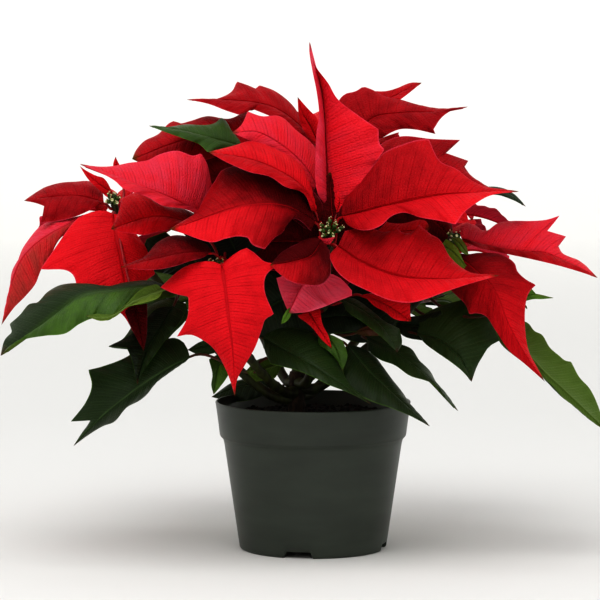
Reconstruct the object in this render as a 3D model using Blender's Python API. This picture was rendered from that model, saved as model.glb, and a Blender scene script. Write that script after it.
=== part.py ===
"""A potted poinsettia: nursery pot, soil, woody branches, flower clusters, red bracts and green leaves.

The front of the plant is towards -Y. Sizes are in millimetres until a mesh is made, and the origin is the
middle of the pot's flat underside. Leaves and bracts that the front view shows are written as they are
seen from the front, and the rest by their heading, length and width.
"""

import math
from dataclasses import dataclass

import bmesh
import bpy
import numpy as np
from mathutils import Vector

MM = 0.001

# Pot
RIM_R = 82.5
POT_H = 125.0
LIP_H = 29.0
LIP_LOW_R = 78.8
NECK_R = 75.6
BASE_R = 62.0
WALL = 1.5
FLOOR = 1.8
LIP_STEP = 3.0
LIP_ROUND = 0.8
BASE_ROUND = 3.0
POT_SIDES = 64
NOTCH_W = 23.0
NOTCH_H = 5.2
NOTCH_ROUND = 1.3
NOTCH_REACH = 9.0
NOTCH_TURN = math.radians(-12.0)
NOTCHES = 4

# Soil
GAP = 0.3
SOIL_TOP = 113.0
SOIL_SWELL = 2.5
SOIL_EDGE = 1.5
SOIL_SIDES = 40

# Woody stem and branches
TRUNK_FOOT = (-16.0, -6.0, 62.0)
TRUNK_TOP = (-13.0, -4.0, 150.0)
TRUNK_R = (7.5, 6.5)
TRUNK_RINGS = 6
TRUNK_SIDES = 16
BRANCH_R = (4.2, 2.8)
BRANCH_RINGS = 15
BRANCH_SIDES = 8
FOOT_REACH = 8.0

# Leaves
STALK_R = 1.1
STALK_PULL = 0.4
BLADE_T = 0.7
RIB_T = 1.3
TIP_R = 0.5
BLADE_RINGS = 12
STALK_RINGS = 4
RING_SIDES = 8
CROWN = 0.05
RIB_STEPS = 200
EDGE_STEPS = 240
BY_NEAREST = 0.75
LOBES = ((0.34, 0.06, 1.0), (0.58, 0.05, 0.7))
LOBED_LESS = 0.45

# Flower clusters
CLUSTER_RINGS = 7
CLUSTER_SIDES = 12
CLUSTER_TALL = 1.3
CLUSTER_BUMP = 0.12

# The eye that sees the front: the plane of the seen outlines is the upright one through the pot's axis.
EYE = (-11.0, -2400.0, 400.0)

BRACT_RED = (0.58, 0.008, 0.013)
BRACT_SHADE = (0.22, 0.002, 0.005)
BRACT_PINK = (0.62, 0.03, 0.07)
LEAF_GREEN = (0.015, 0.055, 0.015)
LEAF_OLIVE = (0.08, 0.14, 0.02)
FLOWER_GREEN = (0.45, 0.5, 0.06)
WOOD_BROWN = (0.06, 0.03, 0.02)
SOIL_BLACK = (0.012, 0.009, 0.007)
POT_GREY = (0.045, 0.052, 0.042)


@dataclass(frozen=True)
class Branch:
    """A branch from the main stem to a flower head, through the given points, in millimetres."""

    name: str
    foot_z: float
    way: tuple
    foot: str = "side"
    r: tuple = BRANCH_R


@dataclass(frozen=True)
class SeenLeaf:
    """A leaf by its outline from the front: rib points (x, z, depth), then both edges (x, z), base to tip.

    below is how far under the branch's head its stalk leaves, and lean is how much farther back than the
    rib the two edges lie.
    """

    name: str
    branch: str
    below: float
    rib: tuple
    left: tuple
    right: tuple
    lean: tuple = (0.0, 0.0)
    colour: tuple = BRACT_RED


@dataclass(frozen=True)
class TurnedLeaf:
    """A leaf by its heading from +X, its rise at the base, its droop to the tip, and its size."""

    name: str
    branch: str
    below: float
    heading: float
    rise: float
    droop: float
    length: float
    width: float
    stalk: float = 22.0
    roll: float = 0.0
    lobed: float = 0.25
    fold: float = 20.0
    colour: tuple = BRACT_RED


BRANCHES = (
    Branch("stem_front_centre", 141, ((2, -34, 165), (10, -62, 215), (13, -66, 250), (14, -72, 271))),
    Branch("stem_front_left", 133, ((-40, -42, 150), (-64, -84, 190), (-72, -106, 228), (-77, -116, 244))),
    Branch("stem_left", 127, ((-60, -10, 150), (-120, -14, 215), (-158, -8, 265), (-167, -10, 292))),
    Branch("stem_right", 136, ((30, -8, 158), (82, -16, 205), (108, -26, 240), (116, -30, 261))),
    Branch("stem_back_centre", 150, ((-10, 2, 175), (-4, 22, 240), (2, 36, 300), (3, 40, 335)), "top"),
    Branch("stem_back_upper_right", 145, ((8, 16, 170), (24, 36, 230), (32, 46, 290), (33, 50, 328))),
    Branch("stem_back_left", 140, ((-34, 30, 160), (-62, 84, 215), (-78, 112, 260), (-84, 120, 290))),
    Branch("stem_back_right", 130, ((20, 34, 152), (64, 92, 205), (86, 118, 250), (92, 126, 280))),
)

SEEN_LEAVES = (
    SeenLeaf(
        "bract_centre_upright", "stem_front_centre", 6,
        rib=((13, 287, -50), (10, 338, -41), (8, 380, -28), (-3, 427, -12)),
        left=((4, 300), (2, 330), (3, 352), (5, 365), (3, 385), (-1, 405), (-3, 418)),
        right=((21, 289), (35, 300), (49, 321), (60, 337), (56, 342), (55, 354), (36, 367), (20, 380),
               (13, 392), (1, 409)),
        lean=(-20, -22),
    ),
    SeenLeaf(
        "bract_centre_upper_left", "stem_front_centre", 9,
        rib=((3, 286, -68), (-7, 304, -76), (-28, 319, -82), (-53, 329, -84), (-88, 335, -84)),
        left=((-2, 306), (-11, 325), (-32, 338), (-52, 344), (-68, 340)),
        right=((-1, 285), (-8, 300), (-24, 306), (-36, 314), (-53, 318), (-74, 327)),
        lean=(26, -18),
    ),
    SeenLeaf(
        "bract_centre_back_left", "stem_front_centre", 12,
        rib=((8, 296, -46), (-6, 322, -44), (-28, 342, -46), (-48, 352, -50), (-68, 351, -52)),
        left=((2, 338), (-15, 354), (-28, 365), (-43, 365), (-55, 369), (-60, 358)),
        right=((-4, 306), (-18, 324), (-38, 338), (-54, 345)),
        lean=(22, -4), colour=BRACT_PINK,
    ),
    SeenLeaf(
        "bract_rear_left_toothed", "stem_back_centre", 6,
        rib=((0, 344, 32), (-12, 358, 26), (-32, 372, 18), (-60, 378, 8), (-106, 379, -8)),
        left=((-2, 352), (-11, 365), (-19, 376), (-32, 386), (-45, 391), (-48, 388), (-55, 391), (-64, 394),
              (-68, 386), (-79, 380), (-89, 377)),
        right=((-6, 345), (-26, 360), (-53, 372), (-62, 366), (-74, 370), (-87, 375)),
        lean=(24, -14), colour=BRACT_SHADE,
    ),
    SeenLeaf(
        "bract_rear_right_toothed", "stem_back_upper_right", 6,
        rib=((34, 337, 44), (48, 362, 40), (75, 368, 32), (105, 369, 22), (130, 373, 12)),
        left=((22, 350), (19, 372), (26, 383), (36, 386), (42, 390), (50, 387), (59, 382), (73, 379),
              (94, 373), (110, 371)),
        right=((45, 340), (57, 346), (65, 351), (73, 354), (84, 354), (103, 350), (101, 354), (108, 364),
               (117, 370)),
        lean=(24, -14), colour=BRACT_SHADE,
    ),
    SeenLeaf(
        "bract_rear_right_slim", "stem_back_upper_right", 3,
        rib=((34, 343, 60), (52, 372, 66), (72, 384, 64), (91, 393, 60)),
        left=((38, 372), (50, 386), (61, 386), (69, 388), (82, 393)),
        right=((46, 352), (62, 370), (80, 384)),
        lean=(10, -10), colour=BRACT_PINK,
    ),
    SeenLeaf(
        "bract_centre_right", "stem_front_centre", 12,
        rib=((24, 281, -68), (48, 286, -80), (73, 292, -88), (107, 299, -94), (141, 301, -98),
             (173, 302, -100)),
        left=((25, 292), (40, 310), (55, 329), (59, 334), (77, 342), (87, 345), (97, 346), (107, 327),
              (120, 321), (132, 312), (145, 306), (158, 304)),
        right=((30, 273), (44, 269), (57, 273), (66, 281), (76, 284), (90, 280), (107, 277), (120, 274), (127, 284), (133, 289),
               (148, 298)),
        lean=(20, -32),
    ),
    SeenLeaf(
        "bract_centre_right_shaded", "stem_front_centre", 15,
        rib=((30, 296, -52), (62, 316, -44), (104, 320, -42), (152, 303, -50)),
        left=((40, 325), (58, 342), (73, 348), (99, 346), (125, 345), (109, 335), (132, 327), (127, 323),
              (132, 316), (140, 310)),
        right=((45, 296), (75, 297), (110, 300), (138, 301)),
        lean=(24, -10), colour=BRACT_SHADE,
    ),
    SeenLeaf(
        "bract_centre_lower_right", "stem_front_centre", 9,
        rib=((21, 256, -92), (40, 243, -106), (73, 230, -118), (107, 228, -124), (132, 229, -128),
             (157, 231, -132)),
        left=((27, 269), (48, 271), (58, 268), (68, 269), (70, 272), (76, 267), (84, 268), (89, 274),
              (99, 266), (106, 262), (116, 246), (132, 234)),
        right=((13, 248), (19, 236), (27, 228), (44, 219), (65, 210), (82, 208), (95, 211), (111, 217),
               (132, 224)),
        lean=(26, -30),
    ),
    SeenLeaf(
        "bract_centre_front", "stem_front_centre", 15,
        rib=((7, 261, -90), (-2, 248, -108), (-18, 243, -122), (-36, 240, -132)),
        left=((2, 263), (-15, 257), (-27, 250)),
        right=((13, 253), (15, 236), (14, 230), (7, 223), (-8, 223), (-19, 226), (-29, 233)),
        lean=(10, -14),
    ),
    SeenLeaf(
        "bract_low_folded", "stem_front_centre", 44,
        rib=((10, 233, -88), (-1, 229, -96), (-9, 222, -102), (-16, 208, -106), (-20, 199, -108)),
        left=((-8, 235), (-31, 229), (-28, 218), (-23, 205)),
        right=((20, 229), (33, 222), (35, 215), (20, 210), (8, 205), (-6, 200)),
        lean=(6, -8), colour=BRACT_PINK,
    ),
    SeenLeaf(
        "bract_centre_left", "stem_front_centre", 18,
        rib=((2, 277, -80), (-22, 290, -94), (-53, 291, -108), (-83, 283, -112), (-108, 274, -114),
             (-121, 270, -114)),
        left=((-6, 298), (-28, 315), (-54, 323), (-76, 320), (-83, 310), (-90, 299), (-98, 285),
              (-101, 282), (-111, 276)),
        right=((-2, 268), (-7, 274), (-15, 279), (-22, 278), (-25, 268), (-32, 263), (-41, 253),
               (-51, 257), (-55, 263), (-63, 264), (-74, 262), (-84, 259), (-91, 260), (-108, 266)),
        lean=(34, -22),
    ),
    SeenLeaf(
        "bract_front_left_hanging", "stem_front_left", 5,
        rib=((-77, 240, -130), (-74, 220, -144), (-71, 194, -152), (-68, 169, -154), (-66, 128, -148)),
        left=((-85, 243), (-107, 239), (-129, 221), (-118, 216), (-105, 213), (-106, 196), (-115, 179),
              (-104, 181), (-91, 175), (-84, 169), (-74, 152), (-69, 139)),
        right=((-68, 248), (-57, 255), (-49, 250), (-41, 243), (-26, 241), (-39, 232), (-41, 220),
               (-33, 198), (-40, 194), (-43, 186), (-49, 170), (-57, 156), (-64, 143)),
        lean=(14, 12),
    ),
    SeenLeaf(
        "bract_front_left_pointing", "stem_front_left", 8,
        rib=((-86, 251, -122), (-103, 251, -128), (-130, 246, -134), (-162, 238, -138)),
        left=((-88, 256), (-95, 260), (-116, 265), (-131, 259), (-142, 247), (-152, 242)),
        right=((-91, 247), (-104, 243), (-116, 239), (-131, 236), (-146, 236)),
        lean=(26, -8),
    ),
    SeenLeaf(
        "bract_front_left_shaded", "stem_front_left", 11,
        rib=((-88, 262, -94), (-106, 276, -80), (-130, 281, -82), (-150, 277, -90), (-170, 270, -100)),
        left=((-92, 276), (-108, 287), (-127, 290), (-138, 296), (-146, 301), (-160, 297), (-164, 284)),
        right=((-97, 263), (-108, 271), (-129, 268), (-143, 265), (-150, 266), (-163, 268)),
        lean=(26, -14), colour=BRACT_SHADE,
    ),
    SeenLeaf(
        "bract_left_long", "stem_front_left", 15,
        rib=((-84, 276, -58), (-99, 285, -72), (-127, 299, -100), (-154, 309, -114), (-196, 325, -122)),
        left=((-82, 290), (-86, 312), (-89, 325), (-94, 334), (-100, 332), (-114, 336), (-129, 333),
              (-139, 328), (-154, 326), (-170, 323), (-184, 323)),
        right=((-92, 280), (-108, 287), (-127, 290), (-139, 297), (-159, 304), (-167, 311), (-180, 318)),
        lean=(30, -22),
    ),
    SeenLeaf(
        "bract_left_back", "stem_back_centre", 12,
        rib=((-34, 342, 14), (-68, 350, -2), (-108, 345, -22), (-152, 329, -40)),
        left=((-44, 360), (-57, 369), (-70, 363), (-89, 365), (-103, 361), (-112, 359), (-117, 361),
              (-121, 359), (-130, 350), (-142, 344), (-149, 336)),
        right=((-44, 334), (-66, 334), (-100, 326), (-136, 322)),
        lean=(26, -14), colour=BRACT_SHADE,
    ),
    SeenLeaf(
        "bract_far_left_upper", "stem_left", 4,
        rib=((-176, 293, -12), (-195, 298, -14), (-215, 298, -12), (-243, 294, -6)),
        left=((-178, 304), (-186, 310), (-201, 310), (-213, 309), (-226, 305), (-236, 299)),
        right=((-184, 288), (-205, 279), (-229, 275), (-227, 281), (-225, 289), (-233, 292)),
        lean=(26, -18), colour=BRACT_SHADE,
    ),
    SeenLeaf(
        "bract_far_left_outer", "stem_left", 8,
        rib=((-190, 283, -26), (-205, 275, -34), (-222, 266, -42), (-235, 257, -48), (-247, 243, -52),
             (-263, 189, -50)),
        left=((-205, 279), (-218, 278), (-229, 273), (-239, 262), (-245, 253), (-250, 240), (-254, 232),
              (-256, 211), (-258, 202)),
        right=((-197, 273), (-213, 262), (-222, 246), (-229, 236), (-234, 224), (-243, 213), (-252, 204)),
        lean=(20, 0),
    ),
    SeenLeaf(
        "bract_far_left_hanging", "stem_left", 12,
        rib=((-168, 283, -30), (-164, 257, -54), (-160, 236, -66), (-157, 215, -74), (-143, 170, -82)),
        left=((-176, 286), (-184, 285), (-197, 280), (-203, 274), (-216, 256), (-230, 236), (-224, 236),
              (-207, 235), (-202, 231), (-197, 217), (-175, 206), (-161, 198), (-151, 182)),
        right=((-160, 282), (-152, 270), (-142, 257), (-133, 232), (-142, 226), (-143, 205), (-141, 185)),
        lean=(0, 10),
    ),
    SeenLeaf(
        "bract_right_pointing", "stem_right", 4,
        rib=((125, 262, -38), (154, 254, -46), (175, 251, -52), (196, 250, -56), (213, 243, -58),
             (240, 229, -56)),
        left=((122, 271), (128, 275), (137, 273), (143, 269), (149, 270), (155, 275), (167, 277),
              (183, 277), (196, 278), (209, 282), (196, 269), (213, 264), (206, 257), (210, 250),
              (225, 243)),
        right=((140, 254), (154, 251), (183, 245), (208, 239), (225, 234)),
        lean=(30, -12),
    ),
    SeenLeaf(
        "bract_right_hanging", "stem_right", 8,
        rib=((118, 250, -46), (134, 238, -70), (152, 220, -86), (165, 190, -94), (180, 163, -92),
             (196, 141, -84)),
        left=((110, 244), (108, 232), (113, 222), (122, 213), (128, 207), (132, 198), (137, 199),
              (145, 197), (153, 186), (166, 167), (179, 156)),
        right=((135, 248), (150, 250), (160, 248), (170, 241), (172, 235), (179, 228), (188, 223),
               (183, 218), (180, 211), (180, 177), (183, 165), (189, 154)),
        lean=(8, 14),
    ),
    SeenLeaf(
        "leaf_upper_left", "stem_back_centre", 40,
        rib=((-60, 340, -20), (-85, 347, -34), (-110, 353, -46), (-138, 357, -58)),
        left=((-62, 345), (-69, 354), (-73, 361), (-77, 364), (-83, 359), (-108, 358), (-129, 355)),
        right=((-66, 337), (-74, 337), (-89, 335), (-95, 341), (-108, 346), (-125, 352)),
        lean=(24, -12), colour=LEAF_GREEN,
    ),
    SeenLeaf(
        "leaf_left_wide", "stem_front_left", 34,
        rib=((-112, 217, -96), (-137, 222, -106), (-163, 219, -112), (-197, 213, -112), (-218, 198, -110),
             (-239, 181, -106), (-264, 163, -100)),
        left=((-124, 221), (-138, 226), (-163, 224), (-180, 220), (-201, 224), (-213, 223), (-224, 217),
              (-233, 208), (-239, 207), (-247, 198), (-256, 190), (-254, 183), (-260, 177)),
        right=((-116, 213), (-125, 212), (-142, 207), (-154, 205), (-164, 199), (-173, 193), (-184, 195),
               (-197, 190), (-209, 182), (-226, 180), (-243, 177), (-256, 171)),
        lean=(26, -14), colour=LEAF_GREEN,
    ),
    SeenLeaf(
        "leaf_left_hanging", "stem_left", 92,
        rib=((-116, 210, -44), (-128, 192, -46), (-139, 170, -46), (-149, 139, -40)),
        left=((-124, 211), (-141, 203), (-154, 186), (-161, 177), (-169, 173), (-174, 170), (-157, 169),
              (-154, 162), (-151, 150)),
        right=((-106, 207), (-106, 196), (-119, 181), (-133, 165), (-142, 152)),
        lean=(14, -6), colour=LEAF_GREEN,
    ),
    SeenLeaf(
        "leaf_lower_left", "stem_front_left", 118,
        rib=((-104, 162, -64), (-125, 150, -76), (-154, 130, -86), (-180, 113, -92), (-203, 86, -92)),
        left=((-108, 173), (-116, 178), (-125, 177), (-156, 163), (-167, 158), (-180, 153), (-191, 150),
              (-188, 138), (-190, 122), (-206, 107), (-203, 96)),
        right=((-108, 159), (-125, 147), (-137, 137), (-150, 125), (-159, 120), (-175, 107), (-192, 93)),
        lean=(14, 22), colour=LEAF_GREEN,
    ),
    SeenLeaf(
        "leaf_front_over_rim", "stem_front_centre", 112,
        rib=((-42, 178, -72), (-25, 169, -90), (-8, 160, -102), (12, 147, -110), (31, 135, -114),
             (49, 122, -114)),
        left=((-36, 185), (-22, 187), (0, 182), (17, 167), (24, 159), (27, 145), (40, 130)),
        right=((-41, 168), (-36, 156), (-15, 151), (-2, 146), (14, 138), (27, 133), (38, 128)),
        lean=(18, -14), colour=LEAF_GREEN,
    ),
    SeenLeaf(
        "leaf_front_right_dark", "stem_front_centre", 96,
        rib=((30, 172, -72), (48, 150, -86), (66, 133, -96), (82, 118, -100), (99, 103, -98)),
        left=((40, 170), (52, 163), (59, 154), (67, 143), (75, 133), (83, 121)),
        right=((24, 155), (29, 137), (48, 125), (65, 119), (82, 112)),
        lean=(26, -12), colour=LEAF_GREEN,
    ),
    SeenLeaf(
        "leaf_centre_short", "stem_front_centre", 60,
        rib=((24, 211, -76), (40, 203, -84), (58, 188, -92), (71, 166, -92)),
        left=((35, 211), (52, 199), (63, 190), (73, 186), (75, 173)),
        right=((28, 202), (44, 190), (60, 177)),
        lean=(18, -10), colour=LEAF_GREEN,
    ),
    SeenLeaf(
        "leaf_front_right_long", "stem_right", 108,
        rib=((46, 178, -50), (73, 165, -68), (99, 142, -80), (111, 129, -82), (123, 116, -80)),
        left=((60, 181), (74, 173), (83, 169), (90, 159), (99, 150), (104, 141), (112, 131)),
        right=((46, 168), (56, 160), (69, 155), (82, 146), (95, 142), (102, 139), (110, 129)),
        lean=(20, -10), colour=LEAF_GREEN,
    ),
    SeenLeaf(
        "leaf_right_upper", "stem_right", 16,
        rib=((112, 286, -12), (130, 296, -18), (150, 302, -26), (165, 300, -32), (179, 289, -36)),
        left=((120, 296), (135, 303), (150, 306), (164, 303), (173, 296)),
        right=((124, 289), (140, 296), (153, 299), (167, 295)),
        lean=(10, -4), colour=LEAF_GREEN,
    ),
    SeenLeaf(
        "leaf_right_outer", "stem_right", 66,
        rib=((152, 188, -36), (178, 167, -54), (196, 148, -66), (208, 137, -68), (225, 121, -66),
             (247, 100, -60)),
        left=((164, 194), (181, 191), (187, 184), (193, 181), (200, 170), (208, 163), (213, 159),
              (218, 158), (225, 145), (234, 135), (242, 118)),
        right=((158, 174), (170, 163), (181, 156), (188, 150), (202, 138), (213, 126), (220, 121),
               (234, 109), (242, 103)),
        lean=(26, -8), colour=LEAF_OLIVE,
    ),
    SeenLeaf(
        "leaf_right_inner", "stem_right", 84,
        rib=((88, 182, -44), (105, 178, -54), (122, 165, -62), (134, 141, -64)),
        left=((92, 196), (107, 205), (116, 208), (128, 211), (148, 197), (158, 176), (149, 171), (143, 162),
              (139, 155)),
        right=((94, 174), (103, 167), (116, 158), (126, 150)),
        lean=(14, -8), colour=LEAF_GREEN,
    ),
)

TURNED_LEAVES = (
    TurnedLeaf("bract_back_centre_a", "stem_back_centre", 3, 96, 38, 60, 104, 56, 14),
    TurnedLeaf("bract_back_centre_b", "stem_back_centre", 16, 160, 12, 46, 92, 50, 16),
    TurnedLeaf("bract_back_upper_right_a", "stem_back_upper_right", 13, 20, 18, 52, 98, 52, 16),
    TurnedLeaf("bract_back_left_a", "stem_back_left", 4, 120, 20, 62, 106, 58, 14),
    TurnedLeaf("bract_back_left_b", "stem_back_left", 8, 182, 14, 66, 98, 54, 14, roll=8),
    TurnedLeaf("bract_back_left_c", "stem_back_left", 12, 62, 8, 62, 90, 50, 14),
    TurnedLeaf("bract_back_right_a", "stem_back_right", 4, 60, 22, 62, 106, 58, 14),
    TurnedLeaf("bract_back_right_b", "stem_back_right", 8, -8, 14, 62, 100, 54, 14, roll=-8),
    TurnedLeaf("bract_back_right_c", "stem_back_right", 12, 128, 6, 60, 88, 50, 14),
    TurnedLeaf("leaf_back_left_low", "stem_back_left", 84, 140, 6, 60, 110, 66, 36, colour=LEAF_GREEN),
    TurnedLeaf("leaf_back_right_low", "stem_back_right", 84, 52, 4, 60, 108, 64, 36, colour=LEAF_GREEN),
    TurnedLeaf("leaf_back_centre_low", "stem_back_left", 110, 84, 2, 62, 104, 62, 40, colour=LEAF_GREEN),
)

CLUSTERS = (
    ("flowers_front_centre", "stem_front_centre", 10.0),
    ("flowers_front_left", "stem_front_left", 6.0),
    ("flowers_far_left", "stem_left", 6.0),
    ("flowers_back_centre", "stem_back_centre", 7.0),
)


def clear_scene():
    """Remove whatever the scene holds, so that only the plant is left."""
    for old in list(bpy.data.objects):
        bpy.data.objects.remove(old, do_unlink=True)


def finish_of(name, colour, roughness=0.5):
    """A plain Principled finish of one colour."""
    made = bpy.data.materials.new(name)
    made.use_nodes = True
    shader = made.node_tree.nodes["Principled BSDF"]
    shader.inputs["Base Color"].default_value = (*colour, 1.0)
    shader.inputs["Roughness"].default_value = roughness
    made.diffuse_color = (*colour, 1.0)
    return made


def add_object(name, mesh, colour, roughness=0.5):
    """Link an object for the mesh, shaded smooth, with a finish of its own."""
    mesh.shade_smooth()
    mesh.set_sharp_from_angle(angle=math.radians(40))
    mesh.materials.append(finish_of(name + "_finish", colour, roughness))
    made = bpy.data.objects.new(name, mesh)
    bpy.context.scene.collection.objects.link(made)
    return made


def mesh_of(name, points, faces):
    """A closed mesh from points in millimetres, with its faces turned outwards."""
    form = bmesh.new()
    made = [form.verts.new(Vector(point) * MM) for point in points]
    for face in faces:
        form.faces.new([made[i] for i in face])
    bmesh.ops.recalc_face_normals(form, faces=form.faces)
    if form.calc_volume(signed=True) < 0:
        bmesh.ops.reverse_faces(form, faces=form.faces)
    mesh = bpy.data.meshes.new(name)
    form.to_mesh(mesh)
    form.free()
    return mesh


def smooth_line(points, count, steps=14):
    """Evenly spaced points along a Catmull-Rom curve through the given ones."""
    given = np.asarray(points, float)
    if len(given) < 3:
        way = given
    else:
        ends = np.vstack([2 * given[0] - given[1], given, 2 * given[-1] - given[-2]])
        way = []
        for a, b, c, d in zip(ends, ends[1:], ends[2:], ends[3:]):
            for t in np.arange(steps) / steps:
                way.append(
                    b + 0.5 * t * (c - a + t * (2 * a - 5 * b + 4 * c - d + t * (3 * (b - c) + d - a)))
                )
        way = np.vstack([way, given[-1]])
    run = np.concatenate([[0], np.cumsum(np.linalg.norm(np.diff(way, axis=0), axis=1))])
    at = np.linspace(0, run[-1], count)
    return np.column_stack([np.interp(at, run, way[:, k]) for k in range(way.shape[1])])


def unit(vector):
    """The vector with a length of one."""
    vector = np.asarray(vector, float)
    return vector / max(np.linalg.norm(vector), 1e-9)


def from_eye(points):
    """Points (x, z, depth) seen in the pot's plane, moved along the line of sight to their depth."""
    x, z, y = np.asarray(points, float).T
    far = (y - EYE[1]) / -EYE[1]
    return np.column_stack([EYE[0] + (x - EYE[0]) * far, y, EYE[2] + (z - EYE[2]) * far])


def edge_beside(rib, outline, stations):
    """The outline's (x, z) beside each station of the rib, which runs over 0 to 1."""
    fine = smooth_line(rib[:, :2], RIB_STEPS)
    edge = smooth_line([fine[0], *outline, fine[-1]], EDGE_STEPS)
    nearest = np.array([np.argmin(np.linalg.norm(fine - point, axis=1)) for point in edge], float)
    nearest = BY_NEAREST * nearest / (RIB_STEPS - 1) + (1 - BY_NEAREST) * np.linspace(0, 1, len(edge))
    nearest = np.maximum.accumulate(nearest) + 1e-6 * np.arange(len(edge))
    nearest[0], nearest[-1] = 0, max(1, nearest[-1])
    return np.column_stack([np.interp(stations, nearest, edge[:, k]) for k in (0, 1)])


def seen_curves(leaf, count):
    """The rib and both edges of a leaf written as seen from the front."""
    given = np.asarray(leaf.rib, float)
    rib = smooth_line(given, count)
    stations = np.linspace(0, 1, count)
    swell = np.sqrt(4 * stations * (1 - stations))
    curves = [from_eye(rib)]
    for outline, lean in zip((leaf.left, leaf.right), leaf.lean):
        edge = edge_beside(given, outline, stations)
        curves.append(from_eye(np.column_stack([edge, rib[:, 2] + lean * swell])))
    return curves


def half_width(stations, lobed):
    """How wide half a leaf is along its length: full at two fifths, with pointed lobes beside it."""
    plain = np.sin(np.pi * stations**0.75) ** 0.85 * (1 - 0.25 * stations)
    lobes = sum(tall * np.exp(-(((stations - at) / spread) ** 2)) for at, spread, tall in LOBES)
    return plain * (1 - LOBED_LESS * lobed) + lobed * lobes


def turned_curves(leaf, base, count):
    """The rib and both edges of a leaf written by its heading and size."""
    stations = np.linspace(0, 1, count)
    heading = math.radians(leaf.heading)
    out = np.array([math.cos(heading), math.sin(heading), 0])
    up = np.array([0, 0, 1.0])
    side = np.cross(up, out)
    angles = np.radians(leaf.rise - leaf.droop * stations)
    steps = np.outer(np.cos(angles), out) + np.outer(np.sin(angles), up)
    rib = np.vstack([[0, 0, 0], np.cumsum(steps[:-1], axis=0)]) * leaf.length / (count - 1) + base
    tops = np.cross(steps, side)
    widths = leaf.width / 2 * half_width(stations, leaf.lobed)
    curves = [rib]
    for sign in (1, -1):
        lift = math.radians(leaf.fold + sign * leaf.roll)
        across = sign * math.cos(lift) * side + math.sin(lift) * tops
        curves.append(rib + across * widths[:, None])
    return curves


def trunk_at(z):
    """The main stem's middle and radius at a height."""
    low, high = np.array(TRUNK_FOOT), np.array(TRUNK_TOP)
    share = (z - low[2]) / (high[2] - low[2])
    return low + (high - low) * share, TRUNK_R[0] + (TRUNK_R[1] - TRUNK_R[0]) * share


def branch_path(branch):
    """Points along a branch from its foot on the main stem to its head, and the way its foot faces."""
    low, high = np.array(TRUNK_FOOT), np.array(TRUNK_TOP)
    middle, radius = trunk_at(branch.foot_z)
    if branch.foot == "top":
        out = unit(high - low)
        start = high + out * GAP
        return smooth_line([start, start + out * FOOT_REACH, *branch.way], BRANCH_RINGS), out
    out = np.array(branch.way[0], float) - middle
    out = unit(out - unit(high - low) * np.dot(out, unit(high - low)))
    start = middle + out * (radius + GAP)
    return smooth_line([start, start + out * FOOT_REACH, *branch.way], BRANCH_RINGS), out


def ring_faces(count, sides):
    """The faces between rings of points that follow each other, and one over each end."""
    faces = []
    for start in range(0, count - sides, sides):
        for k in range(sides):
            a, b = start + k, start + (k + 1) % sides
            faces.append((a, b, b + sides, a + sides))
    return [*faces, tuple(range(sides)), tuple(range(count - sides, count))]


def ring_frame(path, i):
    """The direction of a path at a point, and one direction across it."""
    ahead = unit(path[min(i + 1, len(path) - 1)] - path[max(i - 1, 0)])
    across = np.cross(ahead, (0.0, 0.0, 1.0)) if abs(ahead[2]) < 0.95 else np.cross(ahead, (0.0, 1.0, 0.0))
    return ahead, unit(across)


def tube(name, path, radii, sides, first=None):
    """A closed round tube along a path, whose first ring faces back along the first way, where given."""
    points = []
    last = None
    for i, centre in enumerate(path):
        ahead, across = ring_frame(path, i)
        if i == 0 and first is not None:
            ahead = unit(first)
            across = unit(across - ahead * np.dot(across, ahead))
        if last is not None:
            across = unit(last - ahead * np.dot(last, ahead))
        last = across
        other = np.cross(across, ahead)
        for k in range(sides):
            turn = 2 * math.pi * k / sides
            points.append(centre + radii[i] * (math.cos(turn) * across + math.sin(turn) * other))
    return mesh_of(name, points, ring_faces(len(points), sides))


def stalk_line(path, radii, below, base, first):
    """A stalk's middle line, from just off the branch to the blade's base, and the way it first heads."""
    run = np.concatenate([[0], np.cumsum(np.linalg.norm(np.diff(path, axis=0), axis=1))])
    at = max(run[-1] - below, 0.0)
    middle = np.array([np.interp(at, run, path[:, k]) for k in range(3)])
    near = int(np.clip(np.searchsorted(run, at), 1, len(path) - 1))
    along = unit(path[near] - path[near - 1])
    out = base - middle
    out = unit(out - along * np.dot(out, along))
    start = middle + out * (np.interp(at, run, radii) + GAP)
    reach = np.linalg.norm(base - start) * STALK_PULL
    t = np.linspace(0, 1, STALK_RINGS)[:, None]
    near_branch = (1 - t) ** 3 * start + 3 * t * (1 - t) ** 2 * (start + out * reach)
    near_blade = 3 * t * t * (1 - t) * (base - unit(first) * reach) + t**3 * base
    return near_branch + near_blade, out


def leaf_faces(points):
    """Triangles between a leaf's rings, cut along the same diagonals above and below, and both end faces."""
    rings = np.array(points).reshape(-1, RING_SIDES, 3)
    above = list(range(RING_SIDES // 2 + 1))
    below = [-k % RING_SIDES for k in above]
    middle = (rings[:, above] + rings[:, below]) / 2
    faces = ring_faces(len(points), RING_SIDES)[-2:]
    for i in range(len(rings) - 1):
        near, far = i * RING_SIDES, (i + 1) * RING_SIDES
        for k in range(RING_SIDES // 2):
            there = np.linalg.norm(middle[i, k] - middle[i + 1, k + 1])
            back = np.linalg.norm(middle[i, k + 1] - middle[i + 1, k])
            for row in (above, below):
                p, q = row[k], row[k + 1]
                if there <= back:
                    faces += [(near + p, near + q, far + q), (near + p, far + q, far + p)]
                else:
                    faces += [(near + p, near + q, far + p), (near + q, far + q, far + p)]
    return faces


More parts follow.
